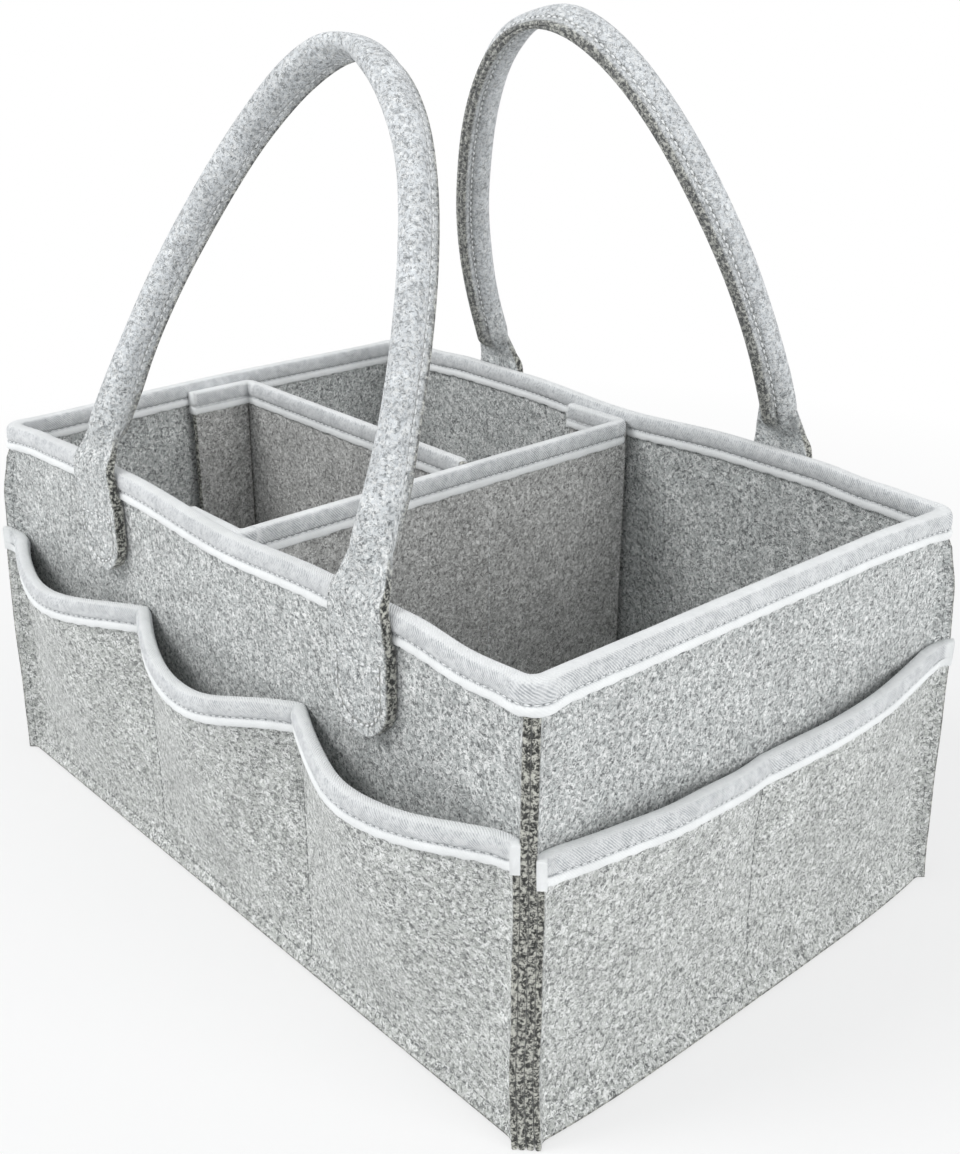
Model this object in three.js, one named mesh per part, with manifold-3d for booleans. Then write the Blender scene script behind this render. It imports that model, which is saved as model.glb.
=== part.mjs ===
// Soft-sided felt caddy: an open basket with sewn-on pockets all round, two padded carrying arches
// and a lift-out T-shaped divider. Millimetres, +Z up, origin on the floor under the middle of the base.
// +X is the long direction, -Y the front.

import * as THREE from 'three';
import { mergeVertices } from 'three/addons/utils/BufferGeometryUtils.js';
import Module from 'manifold-3d';

// Basket
const BODY_LENGTH = 374; // over the outer faces of the end walls
const BODY_WIDTH = 246; // over the outer faces of the long walls
const RIM_HEIGHT = 186; // floor to the top of the bound rim
const WALL_FELT = 3.5;
const SEAM_ALLOWANCE = 6; // depth of the base seam that the basket stands on
const BASE_FLARE = 4.5; // how far the base seam spreads outwards at the floor
const FLARE_HEIGHT = 14;
const LIP_LENGTH = 8.6; // how far the corner seams stand out along the diagonal, at the base
const LIP_TAPER = 5; // how much less they stand out at the rim
const RIM_CORNER_RADIUS = 8;
const LAYER_GAP = 0.3; // between felt layers that are sewn together

// Base
const BOARD_THICKNESS = 2.5;
const BOARD_INSET = 1.5; // board edge to the inner face of the walls
const LINING_FELT = 2.5;

// Bindings: a folded tape over every free edge
const TAPE = 1.1;
const TAPE_DEPTH = 12; // how far the tape reaches down from the edge

// Pockets
const POCKET_FELT = 2.6;
const SIDE_POCKET_HEIGHT = 127;
const END_POCKET_HEIGHT = 121;
const SIDE_BAYS = 3;
const END_BAYS = 2;
const SIDE_BULGE = 18; // how far the mouth of a bay stands off the wall
const END_BULGE = 8;
const SIDE_BAY_DIP = 5; // how far the bound edge sags between two seams
const END_MIDDLE_SAG = 10; // how far the whole edge of an end pocket sags in the middle
const MOUTH_FLARE_HEIGHT = 34; // the top of the seam, where the tape pushes the layers apart
const BULGE_ALONG_POWER = 1.3; // above 1 the bulge draws in sooner towards its seams
const BULGE_UP_POWER = 1.2; // and towards the floor

// Carrying arches
const ARCH_SPAN = 190; // between the middles of the two tabs of one arch
const ARCH_RISE = 196; // hinge line to the middle of the tube at the top
const TUBE_DIAMETER = 14.5;
const TUBE_FELT = 2.6;
const SEAM_RIDGE_WIDTH = 2 * TUBE_FELT; // the two raw edges that are sewn together along the tube
const SEAM_RIDGE_DEPTH = 2.4;
const NECK_LENGTH = 30; // where the flat tab rolls up into the tube
const FLAT_END_POWER = 0.45; // below 1 the flat end of the tube has squarer edges
const RIDGE_OPENING = 50; // degrees of the tube's round that the seam ridge takes up
const TAB_WIDTH = 34;
const TAB_FELT = 2 * TUBE_FELT;
const TAB_DROP = 51; // rim to the round tip of the tab
const HINGE_ABOVE_RIM = 1.5;
const FRONT_LEAN = 25; // degrees inwards from upright
const BACK_LEAN = 19.5;
const FRONT_ARCH_X = 3.5; // the front arch sits a little off the middle
const ARCH_MEETING_GAP = 2; // between the arches when they lean in as far as they go

// Lift-out divider
const DIVIDER_FELT = 3.5;
const DIVIDER_DROP = 5.5; // rim to the bound top edge of the divider
const CROSS_DIVIDER_X = 6;
const LONG_DIVIDER_Y = 13;
const FLAP_LENGTH = 34;
const FLAP_TAPE_START = 5; // the tape stops this far from a fold
const SEAM_TAB_WIDTH = 14; // the strip that sews the long divider to the cross divider
const SEAM_TAB_TOP_DROP = 20;
const STRIP_THICKNESS = 1.2; // hook strip and loop strip
const STRIP_WIDTH = 22;
const STRIP_HEIGHT = 100;
const STRIP_MIDDLE_Z = 92;

// Sampling of the curved pieces
const FLARE_STEPS = 3;
const WALL_STEPS = 5;
const POCKET_STEPS = 7;
const BAY_STEPS = 10;
const CORNER_STEPS = 4;
const CORE_SIDES = 8;
const ARCH_STEPS = 30;
const NECK_STEPS = 4;
const SLEEVE_SIDES = 9;
const TAB_ARC_STEPS = 12;
const SLOPE_RUN = 1; // the run over which a slope is taken
const CUT_MARGIN = 1; // how far a cutting shape reaches past what it cuts

// Places that follow from the sizes above
const TAPE_PROUD = TAPE + LAYER_GAP;
const HALF_LENGTH = BODY_LENGTH / 2;
const HALF_WIDTH = BODY_WIDTH / 2;
const WALL_TOP = RIM_HEIGHT - TAPE_PROUD;
const BASE_TOP = SEAM_ALLOWANCE + WALL_FELT;
const BOARD_TOP = BASE_TOP + LAYER_GAP + BOARD_THICKNESS;
const FLOOR_TOP = BOARD_TOP + LAYER_GAP + LINING_FELT;
const INSIDE_HALF_LENGTH = HALF_LENGTH - WALL_FELT;
const INSIDE_HALF_WIDTH = HALF_WIDTH - WALL_FELT;
const HINGE_OUT = TAPE_PROUD + LAYER_GAP + TAB_FELT; // hinge line to the outer face of the wall
const HINGE_Z = RIM_HEIGHT + HINGE_ABOVE_RIM;

const wasm = await Module();
wasm.setup();

function felt(colour, roughness = 0.95) {
  return new THREE.MeshStandardMaterial({ color: colour, roughness, metalness: 0 });
}

const wallFelt = felt(0xc6c8c8);
const pocketFelt = felt(0xcccecd);
const tapeCloth = felt(0xd8dadc, 0.85);
const innerFelt = felt(0xaaa8a6);
const handleFelt = felt(0xc8cacb);
const boardCard = felt(0x8d8a84, 0.8);
const stripCloth = felt(0xb4b6b8, 0.9);
const coreFoam = felt(0xe6e2d8, 0.9);

function mesh(name, geometry, material) {
  const piece = new THREE.Mesh(geometry, material);
  piece.name = name;
  return piece;
}

// Solids for joining and cutting

function solidFrom(geometry) {
  const bare = geometry.clone();
  bare.deleteAttribute('normal');
  bare.deleteAttribute('uv');
  const merged = mergeVertices(bare, 1e-4);
  return new wasm.Manifold(new wasm.Mesh({
    numProp: 3,
    vertProperties: Float32Array.from(merged.attributes.position.array),
    triVerts: Uint32Array.from(merged.index.array),
  }));
}

function geometryFrom(solid) {
  const result = solid.getMesh();
  const geometry = new THREE.BufferGeometry();
  geometry.setAttribute('position', new THREE.BufferAttribute(result.vertProperties, 3));
  geometry.setIndex(new THREE.BufferAttribute(result.triVerts, 1));
  geometry.computeVertexNormals();
  return geometry;
}

// A box between two corners
function block(low, high) {
  const size = high.map((value, axis) => value - low[axis]);
  const middle = high.map((value, axis) => (value + low[axis]) / 2);
  return new THREE.BoxGeometry(...size).translate(...middle);
}

// An outline in the ground plane, raised from one height to another
function upright(points, bottom, top) {
  const shape = new THREE.Shape(points.map(([x, y]) => new THREE.Vector2(x, y)));
  const geometry = new THREE.ExtrudeGeometry(shape, { depth: top - bottom, bevelEnabled: false });
  return geometry.translate(0, 0, bottom);
}

// A skin through a row of rings. Each ring runs up one side of the piece and back down the other,
// so an open row is closed at its ends by the rungs between those two sides.
function loft(rings, joined) {
  const count = rings[0].length;
  const last = joined ? rings.length : rings.length - 1;
  const faces = [];
  for (let i = 0; i < last; i += 1) {
    const here = i * count;
    const next = ((i + 1) % rings.length) * count;
    for (let k = 0; k < count; k += 1) {
      const after = (k + 1) % count;
      faces.push(here + k, next + k, next + after);
      faces.push(here + k, next + after, here + after);
    }
  }
  if (!joined) {
    const end = (rings.length - 1) * count;
    for (let k = 0; k < count / 2 - 1; k += 1) {
      const across = count - 1 - k;
      faces.push(k, k + 1, across - 1, k, across - 1, across);
      faces.push(end + k, end + across - 1, end + k + 1, end + k, end + across, end + across - 1);
    }
  }
  const geometry = new THREE.BufferGeometry();
  geometry.setAttribute('position', new THREE.Float32BufferAttribute(rings.flat(2), 3));
  geometry.setIndex(facingOut(faces, rings.flat()));
  geometry.computeVertexNormals();
  return geometry;
}

// The same faces, turned over if they enclose a negative volume
function facingOut(faces, points) {
  let volume = 0;
  const [a, b, c] = [new THREE.Vector3(), new THREE.Vector3(), new THREE.Vector3()];
  for (let i = 0; i < faces.length; i += 3) {
    a.fromArray(points[faces[i]]);
    b.fromArray(points[faces[i + 1]]);
    c.fromArray(points[faces[i + 2]]);
    volume += a.dot(b.cross(c));
  }
  return volume < 0 ? faces.reverse() : faces;
}

// A smooth step from 0 to 1
function ease(value) {
  const t = Math.min(Math.max(value, 0), 1);
  return t * t * (3 - 2 * t);
}

// Basket sides. Each side is made in its own frame, with u along the wall, v outwards from the
// outer face of the wall and z up, and is then turned to its place.

const SIDES = [
  { name: 'front', half: HALF_LENGTH, out: HALF_WIDTH, turn: 0, long: true },
  { name: 'right', half: HALF_WIDTH, out: HALF_LENGTH, turn: Math.PI / 2, long: false },
  { name: 'back', half: HALF_LENGTH, out: HALF_WIDTH, turn: Math.PI, long: true },
  { name: 'left', half: HALF_WIDTH, out: HALF_LENGTH, turn: -Math.PI / 2, long: false },
];

// Puts a piece made in a side's frame, where v is -Y, onto that side
function onSide(side, piece) {
  const place = new THREE.Group();
  piece.position.y = -side.out;
  place.rotation.z = side.turn;
  place.add(piece);
  return place;
}

// How far the layers spread outwards near the floor
function flare(z) {
  return BASE_FLARE * Math.max(1 - z / FLARE_HEIGHT, 0) ** 2;
}

// Heights of the rows of a panel: through the flare and then in equal steps to the top
function panelLevels(top, steps) {
  const levels = [];
  for (let i = 0; i < FLARE_STEPS; i += 1) {
    levels.push((FLARE_HEIGHT * i) / FLARE_STEPS);
  }
  for (let i = 0; i <= steps; i += 1) {
    levels.push(FLARE_HEIGHT + ((top - FLARE_HEIGHT) * i) / steps);
  }
  return levels;
}

// Where a layer at distance v from the wall's outer face turns into its corner lip, and where the
// lip ends. The lips of two walls meet on the diagonal, half a layer gap either side of it.
function lipDistance(v) {
  return LAYER_GAP / 2 + WALL_FELT + v;
}

function lipBend(half, v, z) {
  const spread = flare(z);
  return [half - Math.SQRT2 * lipDistance(v) + v + spread, v + spread];
}

function lipTip(half, v, z) {
  const across = lipDistance(v);
  const reach = LIP_LENGTH - LIP_TAPER * (z / WALL_TOP) ** 2;
  return [half + (reach - across) / Math.SQRT2, (reach + across) / Math.SQRT2];
}

function roundedRectangle(halfX, halfY, radius, steps) {
  const points = [];
  const quarterTurn = Math.PI / 2;
  [[1, -1], [1, 1], [-1, 1], [-1, -1]].forEach(([signX, signY], corner) => {
    for (let i = 0; i <= steps; i += 1) {
      const angle = quarterTurn * (corner - 1 + i / steps);
      const out = [Math.cos(angle), Math.sin(angle)];
      points.push([
        signX * (halfX - radius) + radius * out[0],
        signY * (halfY - radius) + radius * out[1],
        out,
      ]);
    }
  });
  return points;
}

// A wall panel with its two corner lips. Inside the rim tape the lips are cut away and the corner
// is rounded to the tape.
function wallPanel(side) {
  const ring = (z) => {
    const halfRow = (v) => [lipTip(side.half, v, z), lipBend(side.half, v, z)];
    const mirrored = (row) => row.map(([u, v]) => [-u, v]);
    const row = (v) => [...mirrored(halfRow(v)), ...halfRow(v).reverse()];
    return [...row(-WALL_FELT), ...row(0).reverse()].map(([u, v]) => [u, -v, z]);
  };
  const panel = solidFrom(loft(panelLevels(WALL_TOP, WALL_STEPS).map(ring), false));
  const lipTop = RIM_HEIGHT - TAPE_DEPTH - LAYER_GAP;
  const wide = side.half + LIP_LENGTH;
  const above = solidFrom(block([-wide, -2 * LIP_LENGTH, lipTop], [wide, 2 * LIP_LENGTH, RIM_HEIGHT]));
  const rim = roundedRectangle(side.half, side.out, RIM_CORNER_RADIUS, CORNER_STEPS);
  const insideRim = solidFrom(upright(rim.map(([x, y]) => [x, y + side.out]), 0, 2 * RIM_HEIGHT));
  const name = side.long ? `${side.name}_wall` : `${side.name}_end_wall`;
  return mesh(name, geometryFrom(panel.subtract(above.subtract(insideRim))), wallFelt);
}

// Pockets: one felt panel over each wall, sewn down at the corners, along the base and between the
// bays, and standing off the wall at each mouth.
function pocketShape(side) {
  const bays = side.long ? SIDE_BAYS : END_BAYS;
  const height = side.long ? SIDE_POCKET_HEIGHT : END_POCKET_HEIGHT;
  const bulge = side.long ? SIDE_BULGE : END_BULGE;
  const bend = lipBend(side.half, LAYER_GAP, height)[0] - POCKET_FELT;
  const mouthHeight = height - TAPE_PROUD;
  const arc = (u) => {
    const along = ((u + bend) / (2 * bend)) * bays;
    return Math.abs(Math.sin(Math.PI * along));
  };
  const dip = side.long ? SIDE_BAY_DIP : 0;
  const sag = side.long ? 0 : END_MIDDLE_SAG;
  const top = (u) => mouthHeight - dip * arc(u) ** 2 - sag * (1 - (u / bend) ** 2);
  // distance of the panel's inner face from the wall
  const standOff = (u, z) => {
    const climb = Math.min(Math.max((z - SEAM_ALLOWANCE) / (top(u) - SEAM_ALLOWANCE), 0), 1);
    const swell = bulge * arc(u) ** BULGE_ALONG_POWER * Math.sin((Math.PI / 2) * climb) ** BULGE_UP_POWER;
    const opening = TAPE_PROUD * ease((z - top(u) + MOUTH_FLARE_HEIGHT) / (MOUTH_FLARE_HEIGHT - TAPE_DEPTH));
    return LAYER_GAP + swell + opening + flare(z);
  };
  // a point at a distance outwards from the panel's inner face
  const point = (u, z, distance) => {
    const level = Math.min(z, top(u));
    const rise = standOff(u + SLOPE_RUN, level) - standOff(u - SLOPE_RUN, level);
    const slope = rise / (2 * SLOPE_RUN);
    const scale = distance / Math.hypot(slope, 1);
    const spread = 1 + flare(z) / bend;
    return [(u - slope * scale) * spread, -(standOff(u, level) + scale), z];
  };
  const stations = [];
  for (let i = 0; i <= bays * BAY_STEPS; i += 1) {
    stations.push(-bend + (2 * bend * i) / (bays * BAY_STEPS));
  }
  return { bend, height, top, point, stations };
}

function pocketPanel(side, pocket) {
  const tipRing = (sign) => {
    const levels = panelLevels(pocket.top(pocket.bend), POCKET_STEPS);
    const column = (v) => levels.map((z) => {
      const [u, out] = lipTip(side.half, v, z);
      return [sign * u, -out, z];
    });
    return [...column(LAYER_GAP), ...column(LAYER_GAP + POCKET_FELT).reverse()];
  };
  const ring = (u) => {
    const levels = panelLevels(pocket.top(u), POCKET_STEPS);
    const column = (distance) => levels.map((z) => pocket.point(u, z, distance));
    return [...column(0), ...column(POCKET_FELT).reverse()];
  };
  const rings = [tipRing(-1), ...pocket.stations.map(ring), tipRing(1)];
  return mesh(`${side.name}_pocket`, loft(rings, false), pocketFelt);
}

// The folded tape over an edge: a ring from the outer leg over the top to the inner leg and back.
// across is the thickness of what it folds over; each entry is distance outwards, height above edge.
function tapeSection(across) {
  const deep = TAPE_PROUD - TAPE_DEPTH;
  const outside = [
    [across + TAPE_PROUD, deep], [across + TAPE_PROUD, LAYER_GAP], [across / 2, TAPE_PROUD],
    [-TAPE_PROUD, LAYER_GAP], [-TAPE_PROUD, deep],
  ];
  const inside = [
    [-LAYER_GAP, deep], [-LAYER_GAP, LAYER_GAP], [across / 2, LAYER_GAP],
    [across + LAYER_GAP, LAYER_GAP], [across + LAYER_GAP, deep],
  ];
  return [...outside, ...inside];
}

function pocketBinding(side, pocket) {
  const section = tapeSection(POCKET_FELT);
  const rings = pocket.stations.map((u) => {
    return section.map(([out, up]) => pocket.point(u, pocket.top(u) + up, out));
  });
  return mesh(`${side.name}_pocket_binding`, loft(rings, false), tapeCloth);
}

function rimBinding() {
  const section = tapeSection(WALL_FELT);
  const path = roundedRectangle(HALF_LENGTH, HALF_WIDTH, RIM_CORNER_RADIUS, CORNER_STEPS);
  const rings = path.map(([x, y, out]) => section.map(([distance, up]) => {
    const v = distance - WALL_FELT;
    return [x + out[0] * v, y + out[1] * v, WALL_TOP + up];
  }));
  return mesh('rim_binding', loft(rings, true), tapeCloth);
}

// Base: a felt panel whose edge is turned down inside the walls, a stiff board and a felt lining

// A slab that spreads with the walls near the floor
function flaredSlab(halfX, halfY, bottom, top) {
  const rings = [];
  for (let i = 0; i <= FLARE_STEPS; i += 1) {
    const z = bottom + ((top - bottom) * i) / FLARE_STEPS;
    const [x, y] = [halfX + flare(z), halfY + flare(z)];
    rings.push([[-x, -y, z], [x, -y, z], [x, y, z], [-x, y, z]]);
  }
  return loft(rings, false);
}

function base() {
  const halfX = INSIDE_HALF_LENGTH - LAYER_GAP;
  const halfY = INSIDE_HALF_WIDTH - LAYER_GAP;
  const whole = solidFrom(flaredSlab(halfX, halfY, 0, BASE_TOP));
  const under = solidFrom(flaredSlab(halfX - WALL_FELT, halfY - WALL_FELT, -LAYER_GAP, SEAM_ALLOWANCE));
  const boardX = INSIDE_HALF_LENGTH - BOARD_INSET;
  const boardY = INSIDE_HALF_WIDTH - BOARD_INSET;
  const boardBottom = BOARD_TOP - BOARD_THICKNESS;
  const liningBottom = FLOOR_TOP - LINING_FELT;
  return [
    mesh('base_panel', geometryFrom(whole.subtract(under)), wallFelt),
    mesh('base_board', block([-boardX, -boardY, boardBottom], [boardX, boardY, BOARD_TOP]), boardCard),
    mesh('base_lining', block([-halfX, -halfY, liningBottom], [halfX, halfY, FLOOR_TOP]), innerFelt),
  ];
}

// Carrying arches. An arch is made upright on its hinge line: x along the wall, y inwards and z up,
// and is then leaned inwards and put on its side.

const HALF_SPAN = ARCH_SPAN / 2;
const TUBE_RADIUS = TUBE_DIAMETER / 2;
const TUBE_DEPTH = TAB_FELT / 2; // hinge line to the middle plane of the tube
const RIDGE_REACH = TUBE_DEPTH + TUBE_RADIUS + SEAM_RIDGE_DEPTH;

// The lean at which the seam ridges of the two arches meet over the middle of the basket
function meetingLean() {
  const ridgeTop = ARCH_RISE + SEAM_RIDGE_WIDTH / 2;
  const reach = Math.hypot(RIDGE_REACH, ridgeTop);
  const distance = HALF_WIDTH + HINGE_OUT - ARCH_MEETING_GAP / 2;
  return Math.asin(Math.min(distance / reach, 1)) - Math.atan2(RIDGE_REACH, ridgeTop);
}

// Angles round the half ellipse, closer together where the neck rolls up
function archAngles() {
  const neck = NECK_LENGTH / ARCH_RISE;
  const side = [];
  for (let i = 0; i < NECK_STEPS; i += 1) {
    side.push((neck * i) / NECK_STEPS);
  }
  const angles = [...side];
  for (let i = 0; i <= ARCH_STEPS; i += 1) {
    angles.push(neck + ((Math.PI - 2 * neck) * i) / ARCH_STEPS);
  }
  return [...angles, ...side.reverse().map((angle) => Math.PI - angle)];
}

// A point in the section of the arch at an angle: side is away from the middle of the arch,
// inwards is towards the basket.
function archPoint(angle, side, inwards) {
  const tangent = [HALF_SPAN * Math.sin(angle), ARCH_RISE * Math.cos(angle)];
  const length = Math.hypot(...tangent);
  return [
    -HALF_SPAN * Math.cos(angle) - (side * tangent[1]) / length,
    TUBE_DEPTH + inwards,
    ARCH_RISE * Math.sin(angle) + (side * tangent[0]) / length,
  ];
}

// Outer and inner outline of the sleeve at an angle, with matching points
function sleeveSections(angle) {
  const fromEnd = ARCH_RISE * Math.min(angle, Math.PI - angle);
  const rolled = ease(fromEnd / NECK_LENGTH);
  const mix = (flat, round) => flat + (round - flat) * rolled;
  const halfWide = mix(TAB_WIDTH / 2, TUBE_RADIUS);
  const halfThick = mix(TAB_FELT / 2, TUBE_RADIUS);
  const power = mix(FLAT_END_POWER, 1);
  const ridge = SEAM_RIDGE_DEPTH * rolled;
  const outline = (wide, thick, peak) => {
    const points = [];
    for (let i = 0; i <= SLEEVE_SIDES; i += 1) {
      const fromRidge = RIDGE_OPENING / 2 + ((360 - RIDGE_OPENING) * i) / SLEEVE_SIDES;
      const turn = THREE.MathUtils.degToRad(90 - fromRidge);
      const shaped = (value) => Math.sign(value) * Math.abs(value) ** power;
      points.push([wide * shaped(Math.cos(turn)), thick * shaped(Math.sin(turn))]);
    }
    points.push([-SEAM_RIDGE_WIDTH / 2, thick + peak], [SEAM_RIDGE_WIDTH / 2, thick + peak]);
    return points;
  };
  const slit = LAYER_GAP / 2;
  const hollowWide = mix(TAB_WIDTH / 2 - TUBE_FELT, TUBE_RADIUS - TUBE_FELT);
  const hollowThick = mix(slit, TUBE_RADIUS - TUBE_FELT);
  const hollow = outline(hollowWide, hollowThick, 0).map(([side, inwards]) => {
    return [Math.sign(side) * Math.min(Math.abs(side), hollowWide), inwards];
  });
  return [outline(halfWide, halfThick, ridge), hollow];
}

// The rolled felt tube, open at both flat ends. Its ends are cut so that they stand level on the
// tabs when the arch leans in as far as it goes.
function archSleeve(name) {
  const angles = archAngles();
  const slant = Math.tan(meetingLean());
  const count = sleeveSections(angles[0])[0].length;
  const at = (index, layer, k) => {
    const angle = angles[index];
    const [side, inwards] = sleeveSections(angle)[layer][k];
    const point = archPoint(angle, side, inwards);
    const atEnd = index === 0 || index === angles.length - 1;
    if (atEnd) {
      point[2] = LAYER_GAP + slant * point[1];
    }
    return point;
  };
  const strips = [];
  for (let k = 0; k < count; k += 1) {
    const outside = angles.map((_, index) => at(index, 0, k));
    const inside = angles.map((_, index) => at(index, 1, k)).reverse();
    strips.push([...outside, ...inside]);
  }
  return mesh(name, loft(strips, true), handleFelt);
}

// The soft core that keeps the tube round, between the two necks
function archCore(name) {
  const radius = TUBE_RADIUS - TUBE_FELT - LAYER_GAP;
  const start = NECK_LENGTH / ARCH_RISE;
  const rings = [];
  for (let i = 0; i <= ARCH_STEPS; i += 1) {
    const angle = start + ((Math.PI - 2 * start) * i) / ARCH_STEPS;
    const ring = [];
    for (let k = 0; k < CORE_SIDES; k += 1) {
      const turn = (2 * Math.PI * (k + 0.5)) / CORE_SIDES;
      ring.push(archPoint(angle, radius * Math.cos(turn), radius * Math.sin(turn)));
    }
    rings.push(ring);
  }
  return mesh(name, loft(rings, false), coreFoam);
}

function arch(name, side, leanDegrees, u) {
  const leaning = new THREE.Group();
  leaning.add(archSleeve(`${name}_handle_sleeve`), archCore(`${name}_handle_core`));
  leaning.rotation.x = -THREE.MathUtils.degToRad(leanDegrees);
  const onHinge = new THREE.Group();
  onHinge.position.set(u, -side.out - HINGE_OUT, HINGE_Z);
  onHinge.add(leaning);
  const place = new THREE.Group();
  place.rotation.z = side.turn;
  place.add(onHinge);
  return place;
}

// The flat end of an arch, sewn to the outside of the wall: it lies on the wall below the rim tape
// and steps out over the tape to the hinge line.
function handleTab(name, side, u) {
  const radius = TAB_WIDTH / 2;
  const tip = RIM_HEIGHT - TAB_DROP;
  const top = HINGE_Z - LAYER_GAP;
  const stepTop = RIM_HEIGHT - TAPE_DEPTH - 2 * LAYER_GAP;
  const stepBottom = stepTop - TAB_FELT;
  const near = LAYER_GAP;
  const far = HINGE_OUT - TAB_FELT;
  const below = tip - CUT_MARGIN;
  const profile = [
    [near, below], [near + TAB_FELT, below], [near + TAB_FELT, stepBottom], [far + TAB_FELT, stepTop],
    [far + TAB_FELT, top], [far, top], [far, stepTop], [near, stepBottom],
  ];
  // the profile is drawn as (v, z) and raised along x, then stood up
  const strip = upright(profile, -radius - CUT_MARGIN, radius + CUT_MARGIN);
  strip.applyMatrix4(new THREE.Matrix4().makeBasis(
    new THREE.Vector3(0, -1, 0),
    new THREE.Vector3(0, 0, 1),
    new THREE.Vector3(-1, 0, 0),
  ));
  const face = [];
  for (let i = 0; i <= TAB_ARC_STEPS; i += 1) {
    const turn = Math.PI + (Math.PI * i) / TAB_ARC_STEPS;
    face.push([radius * Math.cos(turn), tip + radius + radius * Math.sin(turn)]);
  }
  face.push([radius, top + CUT_MARGIN], [-radius, top + CUT_MARGIN]);
  const plate = upright(face, -CUT_MARGIN, HINGE_OUT + CUT_MARGIN).rotateX(Math.PI / 2);
  const tab = mesh(name, geometryFrom(solidFrom(strip).intersect(solidFrom(plate))), handleFelt);
  tab.position.x = u;
  return onSide(side, tab);
}

// Lift-out divider: a cross divider between the long walls, and a long divider that is sewn to it
// and reaches the left end wall. Their ends are folded into flaps that cling to the walls.

const STRIP_STACK = 3 * LAYER_GAP + 2 * STRIP_THICKNESS; // wall to the outer face of a flap
const DIVIDER_TOP = RIM_HEIGHT - DIVIDER_DROP - TAPE_PROUD;
const DIVIDER_BOTTOM = FLOOR_TOP + LAYER_GAP;
const CROSS_HALF = INSIDE_HALF_WIDTH - STRIP_STACK;
const CROSS_FACE_X = CROSS_DIVIDER_X - DIVIDER_FELT / 2;
const LONG_END_X = -(INSIDE_HALF_LENGTH - STRIP_STACK);
const LONG_START_X = CROSS_FACE_X - TAPE_PROUD - LAYER_GAP;
const LONG_FACE_Y = LONG_DIVIDER_Y - DIVIDER_FELT / 2;

// A straight run of tape over the top edge of a divider, lying along x from 0 to length
function straightTape(length) {
  const section = tapeSection(DIVIDER_FELT);
  const ring = (x) => section.map(([out, up]) => [x, out - DIVIDER_FELT / 2, DIVIDER_TOP + up]);
  return loft([ring(0), ring(length)], false);
}

// A flap with its tape and its hook strip. It is made lying along +x from the fold, with its outer
// face towards -y, and is then turned to its place.
function flap(name, fold, turn, mirrored) {
  const face = mirrored ? 1 : -1;
  const outer = face * DIVIDER_FELT;
  const low = Math.min(0, outer);
  const high = Math.max(0, outer);
  const panel = block([LAYER_GAP, low, DIVIDER_BOTTOM], [LAYER_GAP + FLAP_LENGTH, high, DIVIDER_TOP]);
  const tape = straightTape(FLAP_LENGTH + LAYER_GAP - FLAP_TAPE_START);
  tape.translate(FLAP_TAPE_START, (low + high) / 2, 0);
  const stripNear = outer + face * LAYER_GAP;
  const stripFar = stripNear + face * STRIP_THICKNESS;
  const stripStart = LAYER_GAP + (FLAP_LENGTH - STRIP_WIDTH) / 2;
  const stripBottom = STRIP_MIDDLE_Z - STRIP_HEIGHT / 2;
  const strip = block(
    [stripStart, Math.min(stripNear, stripFar), stripBottom],
    [stripStart + STRIP_WIDTH, Math.max(stripNear, stripFar), stripBottom + STRIP_HEIGHT],
  );
  const place = new THREE.Group();
  place.add(mesh(`${name}_flap`, panel, innerFelt));
  place.add(mesh(`${name}_flap_binding`, tape, tapeCloth));
  place.add(mesh(`${name}_hook_strip`, strip, stripCloth));
  place.position.set(fold[0], fold[1], 0);
  place.rotation.z = turn;
  return place;
}

// The strip on the wall that a flap's hook strip clings to
function loopStrip(name, side, u) {
  const bottom = STRIP_MIDDLE_Z - STRIP_HEIGHT / 2;
  const inside = WALL_FELT + LAYER_GAP;
  const strip = block(
    [u - STRIP_WIDTH / 2, inside, bottom],
    [u + STRIP_WIDTH / 2, inside + STRIP_THICKNESS, bottom + STRIP_HEIGHT],
  );
  return onSide(side, mesh(name, strip, stripCloth));
}

function crossDivider() {
  const plate = block(
    [CROSS_FACE_X, -CROSS_HALF, DIVIDER_BOTTOM],
    [CROSS_FACE_X + DIVIDER_FELT, CROSS_HALF, DIVIDER_TOP],
  );
  const tapeLength = 2 * (CROSS_HALF - DIVIDER_FELT - FLAP_TAPE_START);
  const tape = straightTape(tapeLength).translate(-tapeLength / 2, 0, 0).rotateZ(Math.PI / 2);
  tape.translate(CROSS_DIVIDER_X, 0, 0);
  const seamStart = LONG_FACE_Y + DIVIDER_FELT + LAYER_GAP;
  const seamFace = CROSS_FACE_X - LAYER_GAP;
  const seamTab = block(
    [seamFace - DIVIDER_FELT, seamStart, DIVIDER_BOTTOM],
    [seamFace, seamStart + SEAM_TAB_WIDTH, DIVIDER_TOP - SEAM_TAB_TOP_DROP],
  );
  return [
    mesh('cross_divider', plate, innerFelt),
    mesh('cross_divider_binding', tape, tapeCloth),
    mesh('divider_seam_tab', seamTab, innerFelt),
  ];
}

function longDivider() {
  const plate = block(
    [LONG_END_X, LONG_FACE_Y, DIVIDER_BOTTOM],
    [LONG_START_X, LONG_FACE_Y + DIVIDER_FELT, DIVIDER_TOP],
  );
  const tapeStart = LONG_END_X + DIVIDER_FELT + FLAP_TAPE_START;
  const tape = straightTape(LONG_START_X - FLAP_TAPE_START - tapeStart);
  tape.translate(tapeStart, LONG_DIVIDER_Y, 0);
  return [mesh('long_divider', plate, innerFelt), mesh('long_divider_binding', tape, tapeCloth)];
}

// The whole caddy

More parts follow.
